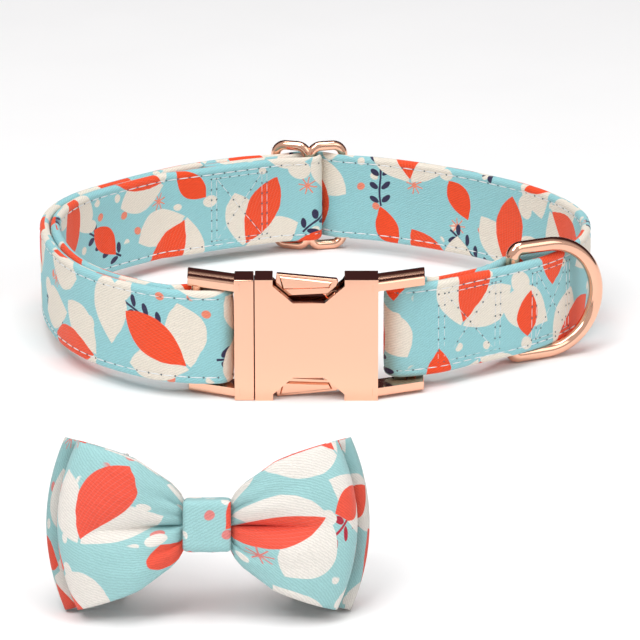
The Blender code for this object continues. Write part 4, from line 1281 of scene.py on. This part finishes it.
def arm_shape(side, top, settings):
    """One arm of the buckle: a rounded bar in front and a higher, domed one behind it that reaches the strap's bar."""
    height = ARM_HEIGHT - settings.arm_step
    radius = settings.arm_round
    section = [(0.0, 0.0)]
    for k in range(7):
        angle = math.radians(180 - 15 * k)
        section.append((radius + radius * math.cos(angle), height - radius + radius * math.sin(angle)))
    half = (ARM_BACK - settings.arm_depth) / 2
    rise = settings.arm_step - 0.03 * MM
    dome = (half * half + rise * rise) / (2 * rise)
    for k in range(13):
        across = half * (k - 6) / 6
        up = rise - dome + math.sqrt(dome * dome - across * across)
        section.append((settings.arm_depth + half + across, height + up))
    section.append((ARM_BACK, 0.0))
    along = Vector((side * math.cos(ARM_BEND), math.sin(ARM_BEND), 0.0))
    back = Vector((-side * math.sin(ARM_BEND), math.cos(ARM_BEND), 0.0))
    start = Vector((buckle_end(side), BODY_FRONT_Y + ARM_INSET, 0.0)) - along * ARM_ROOT
    base = METAL_HEIGHT - ARM_HEIGHT
    bm = bmesh.new()
    corners = [start + back * d + Vector((0, 0, base + z)) for d, z in section]
    face = bm.faces.new([bm.verts.new(corner) for corner in corners])
    tip = set(verts_of(bmesh.ops.extrude_face_region(bm, geom=[face])))
    for vert in tip:
        depth = (vert.co - start).dot(back)
        vert.co += along * (ARM_LENGTH + ARM_ROOT + depth * math.tan(ARM_BEND))
    bevel_edges(bm, [e for e in bm.edges if set(e.verts) <= tip], 0.22 * MM, 3)
    if not top:
        for vert in bm.verts:
            vert.co.z = METAL_HEIGHT - vert.co.z
    return bm


def notch_outline(top):
    """Notch for a lever pad, open at the top or at the bottom edge of the body."""
    shape = (
        (-NOTCH_WIDTH / 2, -CUT_PAST), (-NOTCH_WIDTH / 2, NOTCH_LIP), (-NOTCH_FLOOR / 2, NOTCH_DEPTH),
        (NOTCH_FLOOR / 2, NOTCH_DEPTH), (NOTCH_WIDTH / 2, NOTCH_LIP), (NOTCH_WIDTH / 2, -CUT_PAST),
    )
    return [(NOTCH_MIDDLE_X + x, METAL_HEIGHT - depth if top else depth) for x, depth in shape]


def arms_and_bar(side, bar, settings):
    """The two arms on one side of the buckle and the bar between them, as bmeshes."""
    length = METAL_HEIGHT - 2 * ARM_HEIGHT + 0.2 * MM
    shapes = [arm_shape(side, top, settings) for top in (True, False)]
    return [*shapes, round_bar((*bar, MIDDLE_HEIGHT), CROSSBAR_THICK / 2, length, "Z")]


def make_buckle_body(path, settings, material):
    """Two plates with the notches, the hollow for the levers and tongue between them, and the strap's loop."""
    left, right = body_ends()
    front = BODY_FRONT_Y
    back = front + BODY_THICK
    half = BODY_THICK / 2 - PLATE_THICK
    near = BODY_MIDDLE_Y - half
    far = BODY_MIDDLE_Y + half
    notch = notch_outline(True)
    mouth_left = notch[0][0] - CUT_PAST / 2
    pin_x = notch[-1][0] + LEVER_PIN_INSET
    room_right = pin_x + LEVER_EYE_RADIUS + RUNNING_GAP + 0.2 * MM
    roof = NOTCH_LIP + ROOM_ROOF
    slot = TONGUE_HEIGHT / 2 + RUNNING_GAP
    steps = []
    for top in (True, False):
        steps.append(("DIFFERENCE", prism(notch_outline(top), front - CUT_PAST, back + CUT_PAST)))
    for low, high in (
        ((mouth_left, near, roof), (room_right, far, METAL_HEIGHT - roof)),
        ((notch[0][0], near, -CUT_PAST), (notch[-1][0], far, METAL_HEIGHT + CUT_PAST)),
        ((mouth_left, near, 0.6 * MM), (notch[-1][0], far, METAL_HEIGHT - 0.6 * MM)),
        ((left - CUT_PAST, near, MIDDLE_HEIGHT - slot), (pin_x, far, MIDDLE_HEIGHT + slot)),
    ):
        steps.append(("DIFFERENCE", block(low, high)))
    for pin_z in (LEVER_PIN_DEPTH, METAL_HEIGHT - LEVER_PIN_DEPTH):
        steps.append(("UNION", round_bar((pin_x, BODY_MIDDLE_Y, pin_z), LEVER_PIN_RADIUS, 2 * half + PLATE_THICK, "Y")))
    body = carved(block((left, front, 0.0), (right, back, METAL_HEIGHT)), steps, settings.edge_round)
    whole = joined((body, *arms_and_bar(1, path.female_bar, settings)))
    return mesh_object("buckle_body", whole, material, sharp=PLATE_ANGLE)


def make_buckle_base(path, settings, material):
    """The bar beside the body, with the tongue that goes into it and the strap's loop."""
    right = body_ends()[0] - BODY_SEAM
    front = BODY_FRONT_Y
    half = BODY_THICK / 2 - PLATE_THICK - RUNNING_GAP
    low = (right - BASE_LENGTH / 2, BODY_MIDDLE_Y - half, MIDDLE_HEIGHT - TONGUE_HEIGHT / 2)
    high = (right + TONGUE_LENGTH - LEVER_EYE_RADIUS, BODY_MIDDLE_Y + half, MIDDLE_HEIGHT + TONGUE_HEIGHT / 2)
    base = block((right - BASE_LENGTH, front, 0.0), (right, front + BODY_THICK, METAL_HEIGHT))
    base = carved(base, [("UNION", block(low, high))], settings.edge_round)
    whole = joined((base, *arms_and_bar(-1, path.male_bar, settings)))
    return mesh_object("buckle_base", whole, material, sharp=PLATE_ANGLE)


def make_seam_shadow_strips(material):
    """Two strips of painted shadow set back in the seam between the buckle's base and its body, which block the view
    through it.
    """
    right = body_ends()[0] + MODEL_SHIFT[0] - SEAM_SHADOW_GAP
    left = right - BODY_SEAM + 2 * SEAM_SHADOW_GAP
    front = BODY_FRONT_Y + MODEL_SHIFT[1]
    back = front + BODY_THICK
    inset = SEAM_SHADOW_INSET
    strips = []
    for low_y, high_y in ((front + inset, front + PLATE_THICK), (back - PLATE_THICK, back - inset)):
        strips.append(block((left, low_y, inset), (right, high_y, METAL_HEIGHT - inset)))
    return mesh_object("buckle_seam_shadow", joined(strips), material)


def lever_places(proud):
    """Outlines of the upper release pad, its raised panel and its arm as (x, z), and its pin's place."""
    middle = NOTCH_MIDDLE_X + MODEL_SHIFT[0]
    pin_x = middle + NOTCH_WIDTH / 2 + LEVER_PIN_INSET
    pin_z = METAL_HEIGHT - LEVER_PIN_DEPTH
    left = middle - NOTCH_WIDTH / 2 + LEVER_SIDE_GAP
    right = left + LEVER_LENGTH
    edge = METAL_HEIGHT + proud
    foot = METAL_HEIGHT - LEVER_PAD
    pad = [
        (left + 0.3 * MM, edge), (left, edge - 2.4 * MM), (left + 0.4 * MM, edge - 3.8 * MM),
        (left + 2.7 * MM, foot - 0.3 * MM), (right - 2.6 * MM, foot + 0.3 * MM),
        (right - 0.5 * MM, edge - 3.4 * MM), (right, edge - 2.1 * MM), (right - 0.4 * MM, edge - LEVER_SLOPE),
    ]
    arm = [
        (right - 4.2 * MM, foot + 0.6 * MM), (right - 3.2 * MM, foot - 0.6 * MM), (pin_x - 2.0 * MM, pin_z - 0.8 * MM),
        (pin_x - 0.6 * MM, pin_z + 2.0 * MM), (right - 0.5 * MM, foot + 1.2 * MM),
    ]
    panel = [
        (left + 1.0 * MM, edge - 0.55 * MM), (right - 1.5 * MM, edge - 2.1 * MM),
        (right - 2.3 * MM, edge - 3.7 * MM), (left + 1.8 * MM, edge - 4.1 * MM),
    ]
    return pad, panel, arm, (pin_x, pin_z)


def make_lever(name, top, material):
    """A release pad with a panel raised inside its rim on both faces, on an arm with an eye round its pin."""
    settings = bpy.context.scene.collar_metal
    pad, panel, arm, (pin_x, pin_z) = lever_places(settings.upper_proud if top else LOWER_PROUD)
    if not top:
        pad, panel, arm = ([(x, METAL_HEIGHT - z) for x, z in outline] for outline in (pad, panel, arm))
        pin_z = METAL_HEIGHT - pin_z
    middle = BODY_MIDDLE_Y + MODEL_SHIFT[1]
    half = LEVER_THICK / 2 - settings.lever_panel
    plate = prism(pad, middle - half, middle + half)
    bevel_edges(plate, sharp_edges(plate, 20), 0.15 * MM, 3)
    raised = prism(panel, middle - LEVER_THICK / 2, middle + LEVER_THICK / 2)
    faces = [f for f in raised.faces if abs(f.normal.y) > 0.9]
    bevel_edges(raised, [e for f in faces for e in f.edges], settings.lever_slope, 1)
    bevel_edges(raised, sharp_edges(raised, 20), 0.07 * MM, 2)
    bar = prism(arm, middle - half + 0.1 * MM, middle + half - 0.1 * MM)
    bevel_edges(bar, sharp_edges(bar), 0.15 * MM, 2)
    eye = bmesh.new()
    inner = LEVER_EYE_RADIUS - 0.85 * MM
    corners = [(inner, -half), (LEVER_EYE_RADIUS, -half), (LEVER_EYE_RADIUS, half), (inner, half)]
    section = [eye.verts.new((pin_x + x, middle + y, pin_z)) for x, y in corners]
    edges = [eye.edges.new(pair) for pair in zip(section, section[1:] + section[:1])]
    bmesh.ops.spin(
        eye, geom=section + edges, cent=(pin_x, middle, pin_z), axis=(0, 1, 0), angle=2 * math.pi,
        steps=32, use_merge=True,
    )
    return mesh_object(name, joined((plate, raised, bar, eye)), material, sharp=PLATE_ANGLE)


def make_slider(path, material):
    """Two upright rings of round wire side by side."""
    rings = []
    for side in ("left", "right"):
        outer = Vector((*path.slider[side], MIDDLE_HEIGHT))
        middle = Vector((*path.slider[f"middle {side}"], MIDDLE_HEIGHT))
        centre = (outer + middle) / 2
        across = (outer - middle).normalized()
        wide = (outer - middle).length / 2
        high = (METAL_HEIGHT - SLIDER_WIRE) / 2
        corners = round_cornered((-wide, -high), (wide, high), SLIDER_CORNER, 12)
        points = [centre + across * x + Vector((0, 0, z)) for x, z in corners]
        rings.append(round_wire(f"slider_ring_{side}", points, SLIDER_WIRE / 2, material))
    return rings


def make_d_ring(path, material):
    """Leash ring of round wire: a straight bar with two tight corners and a wide bow."""
    wire = bpy.context.scene.collar_metal.ring_wire
    half = STRAP_WIDTH / 2 + D_EDGE_GAP + wire / 2
    run = D_DEPTH - wire / 2 - half
    corner = D_CORNER_RADIUS
    centre = Vector((*path.d_bar, half + wire / 2 + D_LIFT))
    turn = Matrix.Rotation(path.ring_turn, 3, "Z")
    points = []
    for x, z, radius, start in (
        (corner, half - corner, corner, 180),
        (run, 0, half, 90),
        (corner, corner - half, corner, -90),
    ):
        sweep = 180 if radius == half else 90
        steps = 64 if radius == half else 14
        for k in range(steps + 1):
            angle = math.radians(start - sweep * k / steps)
            local = Vector((x + radius * math.cos(angle), 0, z + radius * math.sin(angle)))
            points.append(centre + turn @ local)
    return round_wire("leash_ring_wire", points, wire / 2, material)


# Bow

def wing_height(share, bundle, full):
    """Half the height of a wing at a share of the way from the knot to its end."""
    shares = [row[1] for row in WING_EDGE]
    grown = [row[2] for row in WING_EDGE]
    return bundle + (full - bundle) * float(np.interp(share, shares, grown))


def bow_matrix(lift):
    """From the bow's own frame, with its knot at the origin and its front on -Y, to the world."""
    place = Vector((BOW_CENTRE_X + MODEL_SHIFT[0], BODY_FRONT_Y - BOW_FRONT_OF_BUCKLE + MODEL_SHIFT[1], lift))
    return Matrix.Translation(place) @ Matrix.Rotation(-BOW_LEAN, 4, "X")


def make_bow_layer(half_length, corner, height, seed, rest=0.0, puff=0.0, back_puff=0.0, valley=0.0):
    """One loop of cloth in the bow's own frame, closed at the wings' ends and gathered at the middle.

    rest is how far it lies behind the front layer, puff and back_puff how far it stands out in front and behind, and
    valley how deep the fold at mid height is.
    """
    bundle = KNOT_HEIGHT / 2 - KNOT_WALL - TOUCH_GAP
    inner = KNOT_WIDTH / 2 - 0.5 * MM
    columns = 44
    rows = 36

    def flat_place(x, y):
        turn = (x + 1) * 2 * columns
        return 0.2 + half_length * (turn - columns) / columns, 0.1 + y * height

    bm = cloth_grid(4 * columns, rows, flat_place)
    for vert in bm.verts:
        turn = (vert.co.x + 1) * 2 * columns
        level = vert.co.y
        is_front = turn < 2 * columns
        position = (turn if is_front else 4 * columns - turn) / columns - 1
        side = -1 if position < 0 else 1
        away = math.sin(min(1.0, abs(position)) * math.pi / 2) if abs(position) > 0.5 else abs(position) * math.sqrt(2)

        # Place across and up the wing
        reach = corner + (half_length - corner) * (1 - level * level)
        x = away * reach
        share = max(0.0, (x - inner) / (reach - inner))
        high = wing_height(share, bundle, height)

        # How far the wing stands out, down to nothing at its closed end
        closing = math.sqrt(max(0.0, 1 - share**60))
        swell = math.sin(math.pi * min(1, share * 0.90 + 0.02)) ** 0.65 if share > 0 else 0.0
        swell = max(swell, 0.16 * min(1, share * 6))
        lobe = 1 - 0.30 * level**4

        # The fold at mid height, the gathers at the knot, and slow and fine creases
        level_of_fold = level + 0.05 * share - 0.03 * side * share
        fading = 1 - min(1, share / 0.85) ** 2
        fold = valley * math.exp(-abs(level_of_fold) / (0.05 + 0.26 * share)) * fading * min(1, share * 9)
        fold = min(fold, 0.85 * puff * swell)
        gather = 0.0
        for _, place, depth, fade in BOW_GATHERS:
            away_from_it = (level - place * side) / (0.07 + 0.12 * share)
            gather += depth * MM * math.exp(-(away_from_it**2)) * math.exp(-fade * share)
        gather *= min(1, share * 10)
        wander = noise.noise(Vector((x * 75 * side + seed, level * 1.7, seed)))
        crease = 1.0 * MM * wander * share * (1.05 - share) * 3
        fine = 0.30 * MM * noise.noise(Vector((x * 190 * side, level * 4.5 + seed, 2.0))) * (1 - share**3)
        gap = LAYER_GAP / 2
        if is_front:
            y = rest + gap - (2 * gap + puff * swell * lobe - fold - gather - crease - fine) * closing
        else:
            y = rest + gap + (back_puff * swell * lobe - 0.3 * gather) * closing
        vert.co = (side * x, y, level * high)
    bmesh.ops.remove_doubles(bm, verts=bm.verts, dist=0.01 * MM)
    bmesh.ops.recalc_face_normals(bm, faces=bm.faces)
    return bm


def make_knot():
    """The band round the bow's middle: a flat tube of cloth with soft edges and small creases."""
    low = -LAYER_GAP / 2 - CLOTH_THICK / 2 - TOUCH_GAP - KNOT_FRONT
    high = 2 * LAYER_GAP + LAYER_GAP / 2 + CLOTH_THICK / 2 + TOUCH_GAP + KNOT_WALL
    half = KNOT_HEIGHT / 2
    section = round_cornered((low, -half), (high, half), KNOT_CORNER, 8)
    points = np.array([*section, section[0]])
    along = lengths_along(points)
    turns = 96
    loop_points = table_at(np.linspace(0, along[-1], turns + 1), along, points)
    bm = cloth_grid(16, turns, lambda x, y: (0.45 + x * KNOT_WIDTH / 2, 0.3 + (y + 1) / 2 * along[-1]))
    middle = np.array([(low + high) / 2, 0.0])
    for vert in bm.verts:
        share = vert.co.x
        y, z = loop_points[round((vert.co.y + 1) / 2 * turns)]
        out = np.array([y, z]) - middle
        out /= np.linalg.norm(out)
        curl = -0.6 * MM * abs(share) ** 14
        crease = 0.16 * MM * noise.noise(Vector((share * 2.2, y * 220, z * 220)))
        y, z = np.array([y, z]) + out * (curl + crease)
        vert.co = (share * KNOT_WIDTH / 2, y, z)
    bmesh.ops.remove_doubles(bm, verts=bm.verts, dist=0.001 * MM)
    bmesh.ops.recalc_face_normals(bm, faces=bm.faces)
    return bm


def make_elastic(middle, half):
    """A flat loop of elastic behind one wing, in the bow's own frame."""
    outline = [(ELASTIC_NEAR, -half), (ELASTIC_FAR, -half), (ELASTIC_FAR, half), (ELASTIC_NEAR, half)]
    bm = bmesh.new()
    verts = [bm.verts.new((middle - ELASTIC_WIDTH / 2, y, z)) for y, z in outline]
    for pair in zip(verts, verts[1:] + verts[:1]):
        bm.edges.new(pair)
    bmesh.ops.bevel(bm, geom=verts, offset=ELASTIC_CORNER, segments=5, profile=0.5, affect="VERTICES", material=-1)
    grown = bmesh.ops.extrude_edge_only(bm, edges=bm.edges[:])
    bmesh.ops.translate(bm, verts=verts_of(grown), vec=(ELASTIC_WIDTH, 0, 0))
    bmesh.ops.recalc_face_normals(bm, faces=bm.faces)
    bmesh.ops.solidify(bm, geom=bm.faces[:], thickness=ELASTIC_THICK)
    bmesh.ops.recalc_face_normals(bm, faces=bm.faces)
    bevel_edges(bm, sharp_edges(bm, 60), 0.3 * MM, 2)
    return bm


# Operators

class COLLAR_OT_strap(bpy.types.Operator):
    """Builds the printed strap and its stitching along the collar's route"""

    bl_idname = "collar.strap"
    bl_label = "Strap"

    def execute(self, context):
        settings = context.scene.collar_strap
        path = StrapPath(settings.station_step)
        strap = make_strap(path, settings, printed_cloth("Printed cotton", {}))
        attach(strap, "collar")
        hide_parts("strap")
        stitches = make_stitches(path, settings)
        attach(stitches, "collar")
        return {"FINISHED"}


class COLLAR_OT_buckle(bpy.types.Operator):
    """Builds the buckle's body and base"""

    bl_idname = "collar.buckle"
    bl_label = "Buckle"

    def execute(self, context):
        settings = context.scene.collar_metal
        path = StrapPath(context.scene.collar_strap.station_step)
        material = rose_gold("Rose gold plate")
        for obj, node in (
            (make_buckle_body(path, settings, material), "buckle_female"),
            (make_buckle_base(path, settings, material), "buckle_male"),
        ):
            obj.data.transform(Matrix.Translation((*MODEL_SHIFT, 0.0)))
            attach(obj, "collar")
            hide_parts(node)
        # Strips of painted shadow that close the seam between the base and the body
        seam_shadow_strips = make_seam_shadow_strips(shadow_material())
        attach(seam_shadow_strips, "collar")
        return {"FINISHED"}


class COLLAR_OT_levers(bpy.types.Operator):
    """Builds the two release levers"""

    bl_idname = "collar.levers"
    bl_label = "Release levers"

    def execute(self, context):
        material = rose_gold("Rose gold lever plate", 0.95)
        for side in ("top", "bottom"):
            lever = make_lever(f"release_pad_{side}", side == "top", material)
            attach(lever, f"lever_{side}")
            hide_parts(f"release_lever_{side}")
        return {"FINISHED"}


class COLLAR_OT_slider(bpy.types.Operator):
    """Builds the slider's two rings"""

    bl_idname = "collar.slider"
    bl_label = "Slider"

    def execute(self, context):
        path = StrapPath(context.scene.collar_strap.station_step)
        rings = make_slider(path, rose_gold("Rose gold plate"))
        for ring in rings:
            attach(ring, "collar")
            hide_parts("slider")
        return {"FINISHED"}


class COLLAR_OT_leash_ring(bpy.types.Operator):
    """Builds the leash ring"""

    bl_idname = "collar.leash_ring"
    bl_label = "Leash ring"

    def execute(self, context):
        path = StrapPath(context.scene.collar_strap.station_step)
        ring = make_d_ring(path, rose_gold("Rose gold wire", 0.97, 0.09))
        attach(ring, "leash_ring")
        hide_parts("d_ring")
        return {"FINISHED"}


class COLLAR_OT_bow(bpy.types.Operator):
    """Builds the bow's two layers, its knot and its elastic bands"""

    bl_idname = "collar.bow"
    bl_label = "Bow tie"

    def execute(self, context):
        settings = context.scene.collar_bow
        front = make_bow_layer(
            settings.front_half, settings.front_corner, settings.half_height,
            seed=3.0, puff=settings.puff, valley=settings.valley,
        )
        back = make_bow_layer(
            settings.back_half, settings.back_corner, settings.half_height + BACK_TALLER,
            seed=8.0, rest=2 * LAYER_GAP, back_puff=BOW_BACK_PUFF,
        )
        turn = Matrix.Rotation(-BOW_LEAN, 4, "X")
        lowest = min((turn @ v.co).z for layer in (front, back) for v in layer.verts) - settings.cloth / 2
        matrix = bow_matrix(-lowest)
        cloth = printed_cloth("Printed cotton of the bow", BOW_SHADES, BOW_PRINT_PLACE)
        # A darker copy of the bow's cloth for its back layer: painted shade where the front layer keeps the light off
        # it
        painted_shade_colours = {key: tuple(BACK_LAYER_PAINTED_SHADE * value for value in colour) for key, colour in BOW_SHADES.items()}
        painted_shade_cloth = printed_cloth("Printed cotton of the bow's back layer in painted shade", painted_shade_colours, BOW_PRINT_PLACE)
        for name, layer, half in (("bow_front", front, settings.front_half), ("bow_back", back, settings.back_half)):
            bmesh.ops.transform(layer, matrix=matrix, verts=layer.verts)
            obj = mesh_object(f"{name}_cloth", layer, cloth if layer is front else painted_shade_cloth)
            thicken(obj, settings.cloth, 0)
            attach(obj, "collar")
            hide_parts(name)
        knot = make_knot()
        bmesh.ops.transform(knot, matrix=matrix, verts=knot.verts)
        obj = mesh_object("bow_knot_cloth", knot, cloth)
        thicken(obj, KNOT_CLOTH, -1)
        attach(obj, "collar")
        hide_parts("bow_knot")
        white = elastic_material()
        half = (-lowest - ELASTIC_FAR * math.sin(BOW_LEAN)) / math.cos(BOW_LEAN)
        for side, middle in (("left", -ELASTIC_FROM_MIDDLE), ("right", ELASTIC_FROM_MIDDLE)):
            band = make_elastic(middle, half)
            bmesh.ops.transform(band, matrix=matrix, verts=band.verts)
            obj = mesh_object(f"elastic_{side}", band, white)
            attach(obj, "collar")
            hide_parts(f"elastic_band_{side}")
        return {"FINISHED"}


class COLLAR_OT_stage(bpy.types.Operator):
    """Sets the pale floor, the soft light and the camera"""

    bl_idname = "collar.stage"
    bl_label = "Stage"

    def execute(self, context):
        settings = context.scene.collar_stage
        self.add_floor(settings)
        self.add_world(context.scene)
        self.add_lights()
        self.add_camera(context.scene, settings)
        return {"FINISHED"}

    def add_floor(self, settings):
        colours = (0.93, 0.93, 0.93), (0.96, 0.96, 0.96)
        material = mottled_material("Pale floor", 0.02, 2.0, colours, 0.9, 0.1)
        bm = bmesh.new()
        bmesh.ops.create_grid(bm, x_segments=1, y_segments=1, size=settings.floor_size / 2)
        mesh_object("floor", bm, material)

    def add_world(self, scene):
        world = bpy.data.worlds.new("Soft studio")
        world.use_nodes = True
        scene.world = world
        nodes = Nodes(world.node_tree)
        background = world.node_tree.nodes["Background"]
        _, y, z = nodes.split(nodes.add("ShaderNodeTexCoord").outputs["Generated"])
        ahead = nodes.ramp(y, -0.15, 0.45)
        above = nodes.ramp(z, 0.76, 0.96)
        colour = nodes.mix(ahead, (1.0, 1.0, 1.0, 1.0), (0.085, 0.042, 0.048, 1.0))
        colour = nodes.mix(above, colour, (0.75, 0.75, 0.76, 1.0))
        nodes.feed(colour, background.inputs["Color"])
        background.inputs["Strength"].default_value = 0.58

    def add_lights(self):
        for name, place, size, power in (
            ("Soft key", (-0.45, -0.65, 1.05), 0.6, 5.6),
            ("Soft fill", (0.75, -0.55, 0.75), 0.7, 2.2),
            ("Top soft box", (0.0, 0.0, 1.2), 0.8, 8.0),
        ):
            light = bpy.data.lights.new(name, "AREA")
            light.shape = "SQUARE"
            light.size = size
            light.energy = power
            obj = new_object(name, light)
            obj.location = place
            obj.rotation_euler = (Vector() - Vector(place)).to_track_quat("-Z", "Y").to_euler()

    def add_camera(self, scene, settings):
        data = bpy.data.cameras.new("Photo camera")
        data.lens = settings.lens
        data.sensor_width = 36
        data.clip_start = 0.05
        data.clip_end = 20
        camera = new_object("Photo camera", data)
        rise = settings.camera_height
        distance = settings.camera_distance
        camera.location = (
            MODEL_SHIFT[0], MODEL_SHIFT[1] - distance * math.cos(rise), distance * math.sin(rise) + MIDDLE_HEIGHT
        )
        camera.rotation_euler = (math.radians(90 - CAMERA_DOWN), 0.0, math.radians(CAMERA_PAN))
        scene.camera = camera
        scene.view_settings.view_transform = "Standard"


class COLLAR_PT_panel(bpy.types.Panel):
    """Lists the collar's pieces and their settings"""

    bl_idname = "COLLAR_PT_panel"
    bl_label = "Pet bow tie collar"
    bl_space_type = "VIEW_3D"
    bl_region_type = "UI"
    bl_category = "Collar"

    def draw(self, context):
        for group in SETTINGS:
            settings = getattr(context.scene, group)
            box = self.layout.box()
            for name in settings.bl_rna.properties.keys():
                if name not in ("rna_type", "name"):
                    box.prop(settings, name)
        for operator in OPERATORS:
            self.layout.operator(operator.bl_idname)


SETTINGS = {
    "collar_strap": CollarStrapSettings,
    "collar_metal": CollarMetalSettings,
    "collar_bow": CollarBowSettings,
    "collar_print": CollarPrintSettings,
    "collar_stage": CollarStageSettings,
}
OPERATORS = (
    COLLAR_OT_stage,
    COLLAR_OT_buckle,
    COLLAR_OT_levers,
    COLLAR_OT_slider,
    COLLAR_OT_leash_ring,
    COLLAR_OT_strap,
    COLLAR_OT_bow,
)


def register():
    for settings in SETTINGS.values():
        bpy.utils.register_class(settings)
    for name, settings in SETTINGS.items():
        setattr(bpy.types.Scene, name, bpy.props.PointerProperty(type=settings))
    for operator in OPERATORS:
        bpy.utils.register_class(operator)
    bpy.utils.register_class(COLLAR_PT_panel)


def unregister():
    bpy.utils.unregister_class(COLLAR_PT_panel)
    for operator in reversed(OPERATORS):
        bpy.utils.unregister_class(operator)
    for name, settings in SETTINGS.items():
        delattr(bpy.types.Scene, name)
        bpy.utils.unregister_class(settings)


def main():
    register()
    bpy.ops.collar.stage()
    bpy.ops.collar.buckle()
    bpy.ops.collar.levers()
    bpy.ops.collar.slider()
    bpy.ops.collar.leash_ring()
    bpy.ops.collar.strap()
    bpy.ops.collar.bow()


if __name__ == "__main__":
    main()
